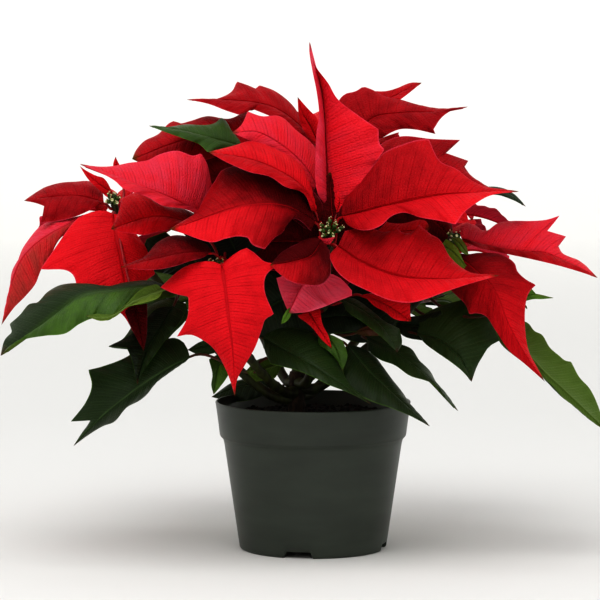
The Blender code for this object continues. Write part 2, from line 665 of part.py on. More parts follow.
def leaf_mesh(name, curves, stalk, out):
    """One closed solid of stalk and blade: rings of eight points from the branch to the tip."""
    rib, left, right = curves
    count = len(rib)
    middles = [0.5 * (rib + edge) for edge in (left, right)]
    grid = np.stack([left, middles[0], rib, middles[1], right], axis=1)
    along = np.gradient(grid, axis=0)
    across = np.gradient(grid, axis=1)
    faces_up = np.cross(along, across)
    faces_up[0], faces_up[-1] = faces_up[1], faces_up[-2]
    faces_up = np.stack([unit(n) for n in faces_up.reshape(-1, 3)]).reshape(faces_up.shape)
    faces_up[:, 0], faces_up[:, 4] = faces_up[:, 1], faces_up[:, 3]
    faces_up[:, 2] = np.stack([unit(n) for n in faces_up[:, 1] + faces_up[:, 3]])
    spans = np.linalg.norm(left - right, axis=1)
    grid[:, 1] += faces_up[:, 1] * CROWN * spans[:, None]
    grid[:, 3] += faces_up[:, 3] * CROWN * spans[:, None]
    points = []
    side = unit(right[2] - left[2])
    for i, centre in enumerate(stalk[:-1]):
        ahead = out if i == 0 else unit(stalk[i + 1] - stalk[i - 1])
        wide = unit(side - ahead * np.dot(side, ahead))
        high = np.cross(wide, ahead)
        for k in range(RING_SIDES):
            turn = math.pi - 2 * math.pi * k / RING_SIDES
            points.append(centre + STALK_R * (math.cos(turn) * wide - math.sin(turn) * high))
    for i in range(count):
        thick = np.array([0, BLADE_T, RIB_T, BLADE_T, 0]) / 2
        if i in (0, count - 1):
            wide = unit(right[min(i + 1, count - 2)] - left[min(i + 1, count - 2)])
            reach = STALK_R if i == 0 else TIP_R
            grid[i] = rib[i] + np.outer((-1, -0.5, 0, 0.5, 1), wide) * reach
            thick = np.array([0, 0.8, 1, 0.8, 0]) * (STALK_R if i == 0 else BLADE_T / 2)
        for j in range(5):
            points.append(grid[i, j] + faces_up[i, j] * thick[j])
        for j in (3, 2, 1):
            points.append(grid[i, j] - faces_up[i, j] * thick[j])
    return mesh_of(name, points, leaf_faces(points))


def lathe(name, profile, sides):
    """A turned solid from a closed profile of (radius, height) points, or one that ends on the axis."""
    form = bmesh.new()
    made = [form.verts.new(Vector((r, 0, z)) * MM) for r, z in profile]
    edges = [form.edges.new(pair) for pair in zip(made, made[1:])]
    if profile[0][0] > 0:
        edges.append(form.edges.new((made[-1], made[0])))
    bmesh.ops.spin(
        form, geom=made + edges, cent=(0, 0, 0), axis=(0, 0, 1), angle=2 * math.pi, steps=sides,
        use_merge=True, use_duplicate=False,
    )
    bmesh.ops.remove_doubles(form, verts=form.verts, dist=1e-6)
    bmesh.ops.recalc_face_normals(form, faces=form.faces)
    mesh = bpy.data.meshes.new(name)
    form.to_mesh(mesh)
    form.free()
    return mesh


def cut(target, mesh, name):
    """Cut a closed shape out of an object with a Boolean, whose cutter stays hidden."""
    cutter = bpy.data.objects.new(name, mesh)
    bpy.context.scene.collection.objects.link(cutter)
    cutter.hide_render = True
    cutter.display_type = "WIRE"
    hole = target.modifiers.new(name, "BOOLEAN")
    hole.operation = "DIFFERENCE"
    hole.solver = "EXACT"
    hole.object = cutter
    return cutter


def body_radius(z):
    """The pot's outer radius below the lip at a height."""
    return BASE_R + (NECK_R - BASE_R) * z / (POT_H - LIP_H - LIP_STEP)


def make_pot():
    """The tapered pot with its lip band, cut by the drain notches at its base edge."""
    neck = POT_H - LIP_H - LIP_STEP
    outside = [
        (0, 0), (BASE_R - BASE_ROUND, 0), (BASE_R - BASE_ROUND * 0.3, BASE_ROUND * 0.3),
        (body_radius(BASE_ROUND), BASE_ROUND),
        (NECK_R, neck), (LIP_LOW_R - LIP_ROUND, neck + LIP_STEP / 2), (LIP_LOW_R, POT_H - LIP_H),
        (RIM_R - LIP_ROUND / 2, POT_H - LIP_ROUND), (RIM_R - LIP_ROUND, POT_H),
    ]
    inside = [
        (RIM_R - WALL - LIP_ROUND / 2, POT_H), (RIM_R - WALL - LIP_ROUND, POT_H - LIP_ROUND),
        (LIP_LOW_R - WALL, POT_H - LIP_H), (NECK_R - WALL, neck - WALL),
        (body_radius(FLOOR + BASE_ROUND) - WALL, FLOOR + BASE_ROUND), (BASE_R - 2 * BASE_ROUND, FLOOR),
        (0, FLOOR),
    ]
    pot = add_object("pot", lathe("pot", outside + inside, POT_SIDES), POT_GREY, 0.4)
    for i in range(NOTCHES):
        turn = NOTCH_TURN + 2 * math.pi * i / NOTCHES - math.pi / 2
        half, top = NOTCH_W / 2, NOTCH_H
        right = [(half, -BASE_ROUND), (half, 0), (half - NOTCH_ROUND, top - NOTCH_ROUND),
                 (half - 2 * NOTCH_ROUND, top)]
        outline = right + [(-across, z) for across, z in reversed(right)]
        points = []
        for r in (BASE_R - NOTCH_REACH, BASE_R + NOTCH_REACH):
            for across, z in outline:
                points.append((r * math.cos(turn) - across * math.sin(turn),
                               r * math.sin(turn) + across * math.cos(turn), z))
        faces = ring_faces(len(points), len(outline))
        cut(pot, mesh_of("drain_cut", points, faces), f"drain_cut_{i + 1}")
    return pot


def make_soil():
    """The soil plug, a little clear of the pot's wall, with the hole that the main stem is planted in."""
    neck = POT_H - LIP_H - LIP_STEP
    clear = WALL + GAP
    rise = FLOOR + BASE_ROUND + GAP
    profile = [
        (0, FLOOR + GAP), (BASE_R - 2 * BASE_ROUND - 1, FLOOR + GAP), (body_radius(rise) - clear, rise),
        (NECK_R - clear, neck - WALL), (LIP_LOW_R - clear, POT_H - LIP_H),
        (LIP_LOW_R - clear + SOIL_EDGE, SOIL_TOP - SOIL_EDGE), (LIP_LOW_R - clear - SOIL_EDGE, SOIL_TOP),
        (RIM_R / 2, SOIL_TOP + SOIL_SWELL * 0.6), (0, SOIL_TOP + SOIL_SWELL),
    ]
    soil = add_object("soil", lathe("soil", profile, SOIL_SIDES), SOIL_BLACK, 0.95)
    low, low_r = trunk_at(TRUNK_FOOT[2] - GAP)
    high, high_r = trunk_at(POT_H)
    hole = tube("planting_hole", np.array([low, high]), (low_r + GAP, high_r + GAP), TRUNK_SIDES)
    cut(soil, hole, "planting_hole")
    return soil


def make_trunk():
    """The woody main stem, from its rooted foot to the fork."""
    path = np.array([trunk_at(z)[0] for z in np.linspace(TRUNK_FOOT[2], TRUNK_TOP[2], TRUNK_RINGS)])
    radii = [trunk_at(z)[1] for z in path[:, 2]]
    return add_object("stem_main", tube("stem_main", path, radii, TRUNK_SIDES), WOOD_BROWN, 0.8)


def make_branches():
    """Every branch, and its path and radii for the leaves that it carries."""
    carried = {}
    for branch in BRANCHES:
        path, out = branch_path(branch)
        radii = np.linspace(branch.r[0], branch.r[1], len(path))
        add_object(branch.name, tube(branch.name, path, radii, BRANCH_SIDES, out), WOOD_BROWN, 0.7)
        carried[branch.name] = (path, radii)
    return carried


def make_seen_leaf(leaf, carried):
    """A leaf whose outline is written as seen from the front."""
    curves = seen_curves(leaf, BLADE_RINGS)
    rib = curves[0]
    stalk, out = stalk_line(*carried[leaf.branch], leaf.below, rib[0], rib[1] - rib[0])
    return add_object(leaf.name, leaf_mesh(leaf.name, curves, stalk, out), leaf.colour, 0.45)


def make_turned_leaf(leaf, carried):
    """A leaf written by its heading and size, which starts at the end of its stalk."""
    path, radii = carried[leaf.branch]
    run = np.concatenate([[0], np.cumsum(np.linalg.norm(np.diff(path, axis=0), axis=1))])
    at = max(run[-1] - leaf.below, 0.0)
    middle = np.array([np.interp(at, run, path[:, k]) for k in range(3)])
    heading, rise = math.radians(leaf.heading), math.radians(leaf.rise)
    out = np.array([math.cos(heading) * math.cos(rise), math.sin(heading) * math.cos(rise), math.sin(rise)])
    base = middle + out * leaf.stalk
    curves = turned_curves(leaf, base, BLADE_RINGS)
    rib = curves[0]
    stalk, first = stalk_line(path, radii, leaf.below, rib[0], rib[1] - rib[0])
    return add_object(leaf.name, leaf_mesh(leaf.name, curves, stalk, first), leaf.colour, 0.45)


def make_cluster(name, branch, r, carried):
    """A cluster of small flowers as one lumpy dome, just above its branch's end."""
    path, _ = carried[branch]
    up = unit(path[-1] - path[-2])
    across = unit(np.cross(up, (0.3, 1.0, 0.1)))
    other = np.cross(up, across)
    foot = path[-1] + up * GAP
    points = []
    for i in range(CLUSTER_RINGS):
        lift = i / CLUSTER_RINGS
        swell = 0.32 + 0.68 * math.sin(math.pi * min(lift * 1.15, 1.0)) ** 0.7
        for k in range(CLUSTER_SIDES):
            turn = 2 * math.pi * k / CLUSTER_SIDES
            reach = r * swell * (1.0 - 0.25 * lift) * (1.0 + CLUSTER_BUMP * math.cos(4 * turn + i))
            way = math.cos(turn) * across + math.sin(turn) * other
            points.append(foot + up * r * CLUSTER_TALL * lift + reach * way)
    faces = ring_faces(len(points), CLUSTER_SIDES)
    return add_object(name, mesh_of(name, points, faces), FLOWER_GREEN, 0.5)


def main():
    """Make the whole plant in its pot."""
    clear_scene()
    make_pot()
    make_soil()
    make_trunk()
    carried = make_branches()
    for leaf in SEEN_LEAVES:
        make_seen_leaf(leaf, carried)
    for leaf in TURNED_LEAVES:
        make_turned_leaf(leaf, carried)
    for name, branch, r in CLUSTERS:
        make_cluster(name, branch, r, carried)


main()
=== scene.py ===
"""The looks of a potted poinsettia: nursery pot, peat, stems, flower heads, red bracts and green leaves.

The front of the plant is towards -Y. Places and sizes are in millimetres until a mesh is made. A leaf that
the front view shows is written as it is seen from there, and the rest by heading, length and width.
"""

import logging
import math
from dataclasses import dataclass, field
from enum import Enum

import bpy
import numpy as np
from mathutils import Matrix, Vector

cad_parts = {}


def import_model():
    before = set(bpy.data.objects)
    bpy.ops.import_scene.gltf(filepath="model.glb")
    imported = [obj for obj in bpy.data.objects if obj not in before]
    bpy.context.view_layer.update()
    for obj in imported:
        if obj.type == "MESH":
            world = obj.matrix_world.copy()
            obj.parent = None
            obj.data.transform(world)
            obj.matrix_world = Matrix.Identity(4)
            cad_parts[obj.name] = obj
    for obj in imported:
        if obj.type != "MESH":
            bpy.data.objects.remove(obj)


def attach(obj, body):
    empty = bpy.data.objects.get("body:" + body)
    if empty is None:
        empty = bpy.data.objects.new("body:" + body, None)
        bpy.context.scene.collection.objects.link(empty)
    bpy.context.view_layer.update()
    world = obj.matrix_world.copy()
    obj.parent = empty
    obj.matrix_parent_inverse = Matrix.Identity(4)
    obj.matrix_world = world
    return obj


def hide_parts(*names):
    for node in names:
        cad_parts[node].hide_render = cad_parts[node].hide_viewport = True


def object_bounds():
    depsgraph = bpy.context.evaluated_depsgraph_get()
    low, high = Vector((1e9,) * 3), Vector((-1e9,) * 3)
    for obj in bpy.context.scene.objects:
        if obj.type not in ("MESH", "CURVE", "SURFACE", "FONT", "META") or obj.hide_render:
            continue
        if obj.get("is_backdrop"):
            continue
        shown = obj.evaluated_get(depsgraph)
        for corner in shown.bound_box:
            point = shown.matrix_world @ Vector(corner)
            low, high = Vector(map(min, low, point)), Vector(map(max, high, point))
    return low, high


LOG = logging.getLogger("poinsettia")
MM = 0.001
BODY = "root"

# The eye of the front view. Seen outlines are written in the upright plane through the pot's axis.
EYE = np.array((-11.0, -2400.0, 400.0))
PITCH = math.radians(4.52)
SENSOR = 36.0
LENS = 171.3

# One unit of the flat leaf map is this many millimetres.
FLAT_MM = 100.0

# A line through given points has this many steps between two of them.
STEPS = 16

# How many points a rib and a margin have while a leaf is worked out.
RIB_POINTS = 240
EDGE_POINTS = 480

# The turn, in degrees, from which a margin's given point is a sharp corner.
TOOTH_TURN = 48

# A stalk starts at this share of its branch's radius, and bends over this share of its length at each end.
STALK_ROOT = 0.6
STALK_BEND = 0.4

# The turn from one flower to the next round a head, in radians.
FLOWER_TURN = 2.39996


class Tissue(Enum):
    """The two kinds of leaf on the plant."""

    BRACT = "bract"
    LEAF = "leaf"


class Facing(Enum):
    """Which side of a leaf looks at the front, or up for a leaf that the front doesn't show."""

    UPPER = 1
    UNDER = -1


class Slot(Enum):
    """Names of the material slots."""

    POT = "pot_plastic"
    SOIL = "soil"
    BARK = "bark"
    BRACT = "red_bract"
    LEAF = "green_leaf"
    FLOWER = "flower"


def linear(hex_colour: str) -> tuple[float, float, float, float]:
    """Turn an sRGB hex colour to linear.

    Args:
        hex_colour: The colour, such as "#E01A22".

    Returns:
        Red, green, blue and alpha for a shader's socket.
    """
    parts = [int(hex_colour[i:i + 2], 16) / 255 for i in (1, 3, 5)]
    red, green, blue = (c / 12.92 if c <= 0.04045 else ((c + 0.055) / 1.055) ** 2.4 for c in parts)
    return red, green, blue, 1.0


def add_node(tree: bpy.types.NodeTree, kind: str, feeds: dict | None = None, **settings) -> bpy.types.Node:
    """Add a node to a material, with its settings and what feeds it.

    Args:
        tree: The material's node tree.
        kind: The node's type.
        feeds: For each input, by name or number, another node's output or a plain value.
        **settings: The node's own settings by name.

    Returns:
        The new node.
    """
    node = tree.nodes.new(kind)
    for name, value in settings.items():
        setattr(node, name, value)
    for name, source in (feeds or {}).items():
        if isinstance(source, bpy.types.NodeSocket):
            tree.links.new(source, node.inputs[name])
        else:
            node.inputs[name].default_value = source
    return node


def maths(tree: bpy.types.NodeTree, operation: str, *values, clamp: bool = False) -> bpy.types.NodeSocket:
    """The result of a sum on numbers or sockets."""
    return add_node(tree, "ShaderNodeMath", dict(enumerate(values)), operation=operation,
                    use_clamp=clamp).outputs[0]


def blend(tree: bpy.types.NodeTree, share: bpy.types.NodeSocket, first: object, second: object
          ) -> bpy.types.NodeSocket:
    """The colour that lies between two others, by a share from 0 to 1."""
    return add_node(tree, "ShaderNodeMix", {0: share, 6: first, 7: second}, data_type="RGBA").outputs[2]


def ramp(tree: bpy.types.NodeTree, value: bpy.types.NodeSocket, come: tuple, go: tuple = (0.0, 1.0),
         smooth: bool = False) -> bpy.types.NodeSocket:
    """Carry a value over from one range to another.

    Args:
        tree: The material's node tree.
        value: The value.
        come: The range that it comes in.
        go: The range that it leaves in.
        smooth: Whether it eases in and out.

    Returns:
        The new value.
    """
    feeds = {"Value": value, "From Min": come[0], "From Max": come[1], "To Min": go[0], "To Max": go[1]}
    kind = "SMOOTHSTEP" if smooth else "LINEAR"
    return add_node(tree, "ShaderNodeMapRange", feeds, interpolation_type=kind).outputs[0]


def unit(vectors: np.ndarray) -> np.ndarray:
    """Vectors with a length of one, along the last axis."""
    vectors = np.asarray(vectors, float)
    return vectors / np.maximum(np.linalg.norm(vectors, axis=-1, keepdims=True), 1e-9)


def smooth_line(points: np.ndarray, count: int, crisp: float = 180.0) -> np.ndarray:
    """Evenly spaced points along a smooth line through the given ones.

    Args:
        points: Two or more points of any dimension.
        count: How many points to return.
        crisp: The turn, in degrees, from which a given point stays a sharp corner.

    Returns:
        The points, one a row.
    """
    given = np.asarray(points, float)
    legs = np.diff(given, axis=0)
    long = np.linalg.norm(legs, axis=1)[:, None]
    ways = legs / np.maximum(long, 1e-9)
    into = np.vstack([ways[:1], ways])
    out = np.vstack([ways, ways[-1:]])
    turns = np.degrees(np.arccos(np.clip((into * out).sum(axis=1), -1, 1)))
    through = unit(into + out)
    smooth = (turns < crisp)[:, None]
    leave = np.where(smooth, through, out)
    arrive = np.where(smooth, through, into)
    way = [given[:1]]
    t = (np.arange(1, STEPS + 1) / STEPS)[:, None]
    for i in range(len(legs)):
        start, pull = given[i], long[i]
        way.append(
            start + (3 * t**2 - 2 * t**3) * legs[i] + (t**3 - 2 * t**2 + t) * leave[i] * pull
            + (t**3 - t**2) * arrive[i + 1] * pull
        )
    way = np.vstack(way)
    run = np.concatenate([[0], np.cumsum(legs_of(way))])
    at = np.linspace(0, run[-1], count)
    return np.column_stack([np.interp(at, run, way[:, k]) for k in range(way.shape[1])])


def legs_of(line: np.ndarray) -> np.ndarray:
    """The distances from each point of a line to the next."""
    return np.linalg.norm(np.diff(line, axis=0), axis=1)


def sample(line: np.ndarray, at: np.ndarray) -> np.ndarray:
    """The points of an evenly spaced line at shares from 0 to 1."""
    own = np.linspace(0, 1, len(line))
    return np.column_stack([np.interp(at, own, line[:, k]) for k in range(line.shape[1])])


def round_faces(rows: int, sides: int, inward: bool = False) -> list[tuple]:
    """The faces of a turned body whose points are its foot, its rows and its top.

    Args:
        rows: How many rows of points it has.
        sides: How many points a row has.
        inward: Whether its faces look the other way.

    Returns:
        The faces, as numbers of its points.
    """
    top = rows * sides + 1
    faces = []
    for k in range(sides):
        after = (k + 1) % sides
        faces.append((0, 1 + after, 1 + k))
        for low in range(1, top - sides, sides):
            faces.append((low + k, low + after, low + sides + after, low + sides + k))
        faces.append((top - sides + k, top - sides + after, top))
    return [(face[0], *face[:0:-1]) for face in faces] if inward else faces


def circle(sides: int) -> list[tuple[float, float]]:
    """The points of a circle with a radius of one."""
    turns = [2 * math.pi * k / sides for k in range(sides)]
    return [(math.cos(turn), math.sin(turn)) for turn in turns]


def from_eye(points: np.ndarray) -> np.ndarray:
    """Move seen points along the line of sight to their depth.

    Args:
        points: Points (x, z, depth) whose x and z are seen in the upright plane through the pot's axis.

    Returns:
        The points (x, y, z) in space.
    """
    x, z, y = np.asarray(points, float).T
    far = (y - EYE[1]) / -EYE[1]
    return np.column_stack([EYE[0] + (x - EYE[0]) * far, y, EYE[2] + (z - EYE[2]) * far])


@dataclass
class Form:
    """A mesh while it is built, in millimetres, with what each face and each point carries."""

    points: list = field(default_factory=list)
    faces: list = field(default_factory=list)
    finish: list = field(default_factory=list)
    maps: list = field(default_factory=list)
    tints: list = field(default_factory=list)

    def add(self, points: np.ndarray, faces: list, finish: int | list = 0, maps: list | None = None,
            tints: np.ndarray | None = None) -> None:
        """Add a part.

        Args:
            points: Its points.
            faces: Its faces, as numbers of its own points.
            finish: Which of the object's materials it wears, or a list with one for each face.
            maps: The vein map and flat map of each corner of each face, four numbers a corner.
            tints: What each point carries of paleness with painted highlight, the other colour, and painted
                shade.
        """
        start = len(self.points)
        self.points.extend(points)
        self.faces.extend([tuple(start + i for i in face) for face in faces])
        self.finish.extend(finish if isinstance(finish, list) else [finish] * len(faces))
        self.maps.extend(maps if maps is not None else [(0, 0, 0, 0)] * sum(len(face) for face in faces))
        self.tints.extend(tints if tints is not None else [(0, 0, 0)] * len(points))

    def tube(self, path: np.ndarray, radii: np.ndarray, sides: int, finish: int | list = 0,
             tint: tuple = (0, 0, 0), across: np.ndarray | None = None) -> None:
        """Add a closed round tube.

        Args:
            path: The points along its middle.
            radii: Its radius at each point.
            sides: How many sides it has.
            finish: Which of the object's materials it wears, or a list for its faces and then its two ends.
            tint: What all its points carry.
            across: A direction across its start, where the turn of its first ring matters.
        """
        ahead = unit(np.gradient(path, axis=0))
        side = np.cross(ahead[0], (0.3, 0.2, 1.0)) if across is None else across
        turns = np.arange(sides) / sides * 2 * math.pi
        points = []
        for centre, way, r in zip(path, ahead, radii):
            side = unit(side - way * (side @ way))
            other = np.cross(way, side)
            points.extend(centre + r * (math.cos(turn) * side + math.sin(turn) * other) for turn in turns)
        faces = []
        for start in range(0, len(points) - sides, sides):
            for k in range(sides):
                a, b = start + k, start + (k + 1) % sides
                faces.append((a, b, b + sides, a + sides))
        faces += [tuple(reversed(range(sides))), tuple(range(len(points) - sides, len(points)))]
        self.add(np.array(points), faces, finish, tints=[tint] * len(points))

    def spun(self, profile: np.ndarray, sides: int, place: np.ndarray, axis: np.ndarray,
             finish: int = 0, wave: float = 0.0, lobes: int = 5) -> None:
        """Add a turned body whose profile starts and ends on its axis.

        Args:
            profile: Points (radius, height) from its foot to its top.
            sides: How many sides it has.
            place: Where its foot stands.
            axis: The direction that it stands in.
            finish: Which of the object's materials it wears.
            wave: How deep its lobes are, as a share of the radius.
            lobes: How many lobes go round it.
        """
        axis = unit(axis)
        side = unit(np.cross(axis, (0.31, 0.9, 0.12)))
        other = np.cross(axis, side)
        points = [place + axis * profile[0][1]]
        for r, z in profile[1:-1]:
            for k in range(sides):
                turn = 2 * math.pi * k / sides
                reach = r * (1 + wave * math.cos(lobes * turn))
                points.append(place + axis * z + reach * (math.cos(turn) * side + math.sin(turn) * other))
        points.append(place + axis * profile[-1][1])
        self.add(np.array(points), round_faces(len(profile) - 2, sides), finish)

    def make(self, name: str, finishes: list, slot: Slot, sharp: float = 60.0) -> bpy.types.Object:
        """Turn the form into an object of the plant.

        Args:
            name: The object's name.
            finishes: Its materials.
            slot: Not used.
            sharp: The angle between faces, in degrees, from which an edge is crisp.

        Returns:
            The new object, which rides on the plant's body.
        """
        mesh = bpy.data.meshes.new(name)
        mesh.from_pydata(np.asarray(self.points, float) * MM, [], self.faces)
        for material in finishes:
            mesh.materials.append(material)
        mesh.polygons.foreach_set("material_index", self.finish)
        corners = np.asarray(self.maps, np.float32)
        for title, columns in (("veins", (0, 1)), ("flat", (2, 3))):
            mesh.uv_layers.new(name=title).uv.foreach_set("vector", corners[:, columns].ravel())
        tint = mesh.attributes.new("tint", "FLOAT_VECTOR", "POINT")
        tint.data.foreach_set("vector", np.asarray(self.tints, np.float32).ravel())
        mesh.shade_smooth()
        mesh.set_sharp_from_angle(angle=math.radians(sharp))
        made = bpy.data.objects.new(name, mesh)
        bpy.context.scene.collection.objects.link(made)
        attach(made, BODY)
        LOG.info("%s: %d faces", name, len(mesh.polygons))
        return made


@dataclass(frozen=True)
class Finish:
    """A material: what it is made of is its name, and each kind of finish adds what its surface shows."""

    name: str
    roughness: float
    gloss: float = field(default=0.5, kw_only=True)

    def start(self) -> tuple[bpy.types.Material, bpy.types.NodeTree, bpy.types.Node]:
        """Start the material.

        Returns:
            The new material, its node tree and its shader.
        """
        made = bpy.data.materials.new(self.name)
        made.use_nodes = True
        shader = made.node_tree.nodes["Principled BSDF"]
        shader.inputs["Roughness"].default_value = self.roughness
        shader.inputs["IOR"].default_value = 1.45
        shader.inputs["Specular IOR Level"].default_value = self.gloss
        return made, made.node_tree, shader


@dataclass(frozen=True)
class LeafSkin(Finish):
    """One side of a leaf: waxy grown tissue with a midrib, side veins, a fine net, mottled colour and painted
    shade.
    """

    fresh: str
    # The dark colour: the mottle reaches towards it, and painted shade darkens a leaf towards it.
    deep_and_shade: str
    # The pale colour, of paler tissue and painted highlight; the margin's pale line takes it too.
    pale_and_highlight: str
    other: str
    vein: str
    vein_shows: float = 0.4
    vein_mm: float = 0.35
    vein_gap_mm: float = 4.5
    vein_rise: float = -1.0
    net_mm: float = 2.2
    net_depth: float = 0.35
    relief_mm: float = 0.35
    mottle_mm: float = 14.0
    sheen: float = 0.15
    sheen_tint: str = "#FFB0B8"
    between: int = 3
    fine_wide: float = 0.34
    fine_shows: float = 0.5
    edge_shows: float = 0.35

    def make(self) -> bpy.types.Material:
        """Build the leaf skin's nodes.

        Returns:
            The material.
        """
        made, tree, shader = self.start()
        shader.inputs["Sheen Weight"].default_value = self.sheen
        shader.inputs["Sheen Roughness"].default_value = 0.45
        shader.inputs["Sheen Tint"].default_value = linear(self.sheen_tint)

        veins = add_node(tree, "ShaderNodeUVMap", uv_map="veins").outputs[0]
        flat = add_node(tree, "ShaderNodeUVMap", uv_map="flat").outputs[0]
        along, across, _ = add_node(tree, "ShaderNodeSeparateXYZ", {0: veins}).outputs
        beside = maths(tree, "ABSOLUTE", across)
        near_vein = ramp(tree, maths(tree, "PINGPONG", along, 0.5), (0.0, self.vein_mm / self.vein_gap_mm),
                         (1.0, 0.0), smooth=True)
        near_fine = ramp(tree, maths(tree, "PINGPONG", along, 1 / (2 * self.between)),
                         (0.0, self.fine_wide / self.between), (self.fine_shows, 0.0), smooth=True)
        side_veins = maths(tree, "MULTIPLY", maths(tree, "MAXIMUM", near_vein, near_fine),
                           ramp(tree, beside, (0.5, 1.0), (0.6, 0.1)))
        midrib = ramp(tree, beside, (0.012, 0.05), (1.0, 0.0), smooth=True)
        lines = maths(tree, "MAXIMUM", side_veins, midrib)
        net = add_node(tree, "ShaderNodeTexVoronoi", {"Vector": flat, "Scale": FLAT_MM / self.net_mm},
                       voronoi_dimensions="2D", feature="DISTANCE_TO_EDGE").outputs["Distance"]
        cells = ramp(tree, net, (0.0, 0.25), smooth=True)
        mottle = add_node(tree, "ShaderNodeTexNoise", {
            "Vector": flat, "Scale": FLAT_MM / self.mottle_mm, "Detail": 4.0, "Roughness": 0.6},
            noise_dimensions="2D").outputs["Fac"]

        carried = add_node(tree, "ShaderNodeAttribute", attribute_name="tint").outputs["Vector"]
        pale_and_highlight_share, turned, shade_and_dry = add_node(tree, "ShaderNodeSeparateXYZ", {0: carried}).outputs
        uneven = ramp(tree, mottle, (0.3, 0.65), (0.45, 1.1))
        # Painted shade: the tint's third number darkens towards the dark colour on top of the mottle; it also
        # holds the dry tips.
        depth = maths(tree, "ADD", ramp(tree, mottle, (0.35, 0.7), (-0.06, 0.12)), shade_and_dry, clamp=True)
        colour = blend(tree, depth, linear(self.fresh), linear(self.deep_and_shade))
        # The tint's first number pales the colour, partly as a painted highlight.
        colour = blend(tree, maths(tree, "MULTIPLY", uneven, pale_and_highlight_share, clamp=True), colour, linear(self.pale_and_highlight))
        colour = blend(tree, maths(tree, "MULTIPLY", uneven, turned, clamp=True), colour, linear(self.other))
        colour = blend(tree, maths(tree, "MULTIPLY", lines, self.vein_shows), colour, linear(self.vein))
        margin = ramp(tree, beside, (0.965, 0.99), (0.0, self.edge_shows))
        tree.links.new(blend(tree, margin, colour, linear(self.pale_and_highlight)), shader.inputs["Base Color"])

        swell = maths(tree, "MULTIPLY", cells, self.net_depth)
        height = maths(tree, "MULTIPLY_ADD", lines, self.vein_rise, swell)
        bump = add_node(tree, "ShaderNodeBump", {
            "Height": height, "Distance": self.relief_mm * MM, "Strength": 0.8}).outputs[0]
        tree.links.new(bump, shader.inputs["Normal"])
        gloss = ramp(tree, mottle, (0.3, 0.7), (self.roughness - 0.06, self.roughness + 0.08))
        tree.links.new(gloss, shader.inputs["Roughness"])
        return made


@dataclass(frozen=True)
class NoisySkin(Finish):
    """A surface of two colours in soft patches, with a fine raised grain."""

    light: str
    dark: str
    patch_mm: float = 8.0
    grain_mm: float = 1.0
    relief_mm: float = 0.15
    stretch: tuple = (1.0, 1.0, 1.0)
    detail: float = 4.0
    coat: float = 0.0

    def make(self) -> bpy.types.Material:
        """Build the patches and the grain.

        Returns:
            The material.
        """
        made, tree, shader = self.start()
        shader.inputs["Coat Weight"].default_value = self.coat
        place = add_node(tree, "ShaderNodeTexCoord").outputs["Object"]
        drawn = add_node(tree, "ShaderNodeMapping", {"Vector": place, "Scale": self.stretch}).outputs[0]
        patches = add_node(tree, "ShaderNodeTexNoise", {
            "Vector": drawn, "Scale": 1 / (self.patch_mm * MM), "Detail": self.detail}).outputs["Fac"]
        colour = blend(tree, ramp(tree, patches, (0.35, 0.65)), linear(self.dark), linear(self.light))
        tree.links.new(colour, shader.inputs["Base Color"])
        grain = add_node(tree, "ShaderNodeTexNoise", {
            "Vector": drawn, "Scale": 1 / (self.grain_mm * MM), "Detail": self.detail}).outputs["Fac"]
        bump = add_node(tree, "ShaderNodeBump", {
            "Height": grain, "Distance": self.relief_mm * MM, "Strength": 0.7}).outputs[0]
        tree.links.new(bump, shader.inputs["Normal"])
        return made


@dataclass(frozen=True)
class StudioPaper(Finish):
    """Matt white paper whose far parts shine, as a backdrop with its own lamps does."""

    colour: str
    glow: float
    near: float
    far: float

    def make(self) -> bpy.types.Material:
        """Build the paper.

        Returns:
            The material.
        """
        made, tree, shader = self.start()
        shader.inputs["Base Color"].default_value = linear(self.colour)
        shader.inputs["Emission Color"].default_value = linear(self.colour)
        place = add_node(tree, "ShaderNodeTexCoord").outputs["Object"]
        away = add_node(tree, "ShaderNodeVectorMath", {0: place}, operation="LENGTH").outputs["Value"]
        glow = ramp(tree, away, (self.near, self.far), (0.0, self.glow))
        tree.links.new(glow, shader.inputs["Emission Strength"])
        return made


# Each leaf skin's dark colour is what painted shade darkens towards, and its pale colour what a partly
# painted highlight pales towards.
# Poinsettia bract, upper side: thin grown tissue that reads as velvety deep red with pinkish light on it.
BRACT_UPPER = LeafSkin(
    "bract_upper", 0.5, fresh="#D41C27", deep_and_shade="#4C0005", pale_and_highlight="#DC546E", other="#3B4A10", vein="#7E0812",
    vein_shows=0.42, relief_mm=1.0, sheen=0.05, sheen_tint="#FF6070", gloss=0.1,
)
# Bract, underside: paler and pinker, with the veins standing out.
BRACT_UNDER = LeafSkin(
    "bract_under", 0.58, fresh="#EA3A54", deep_and_shade="#8A1420", pale_and_highlight="#F07890", other="#4E5A22", vein="#8A1020",
    vein_shows=0.5, vein_rise=1.0, relief_mm=0.5, sheen=0.1, sheen_tint="#FFB0B8", gloss=0.15,
)
# Green leaf, upper side: waxy and dark, with thin pale veins.
LEAF_UPPER = LeafSkin(
    "leaf_upper", 0.42, fresh="#2A3E1A", deep_and_shade="#111A0A", pale_and_highlight="#66902A", other="#5A1414", vein="#5C7646",
    vein_shows=0.22, vein_mm=0.3, relief_mm=0.35, sheen=0.02, sheen_tint="#E8FFE8", gloss=0.25,
)
# Green leaf, underside: matt olive with raised veins.
LEAF_UNDER = LeafSkin(
    "leaf_under", 0.6, fresh="#506626", deep_and_shade="#2C3A16", pale_and_highlight="#768A3C", other="#5A1A14", vein="#7E9052",
    vein_shows=0.35, vein_rise=1.0, relief_mm=0.45, sheen=0.05, sheen_tint="#E8FFE8", gloss=0.2,
)
# Leaf stalk: smooth and juicy, wine red with olive patches.
STALK = NoisySkin("stalk", 0.4, light="#5A2018", dark="#3A2E14", patch_mm=9, grain_mm=1.2, relief_mm=0.08)
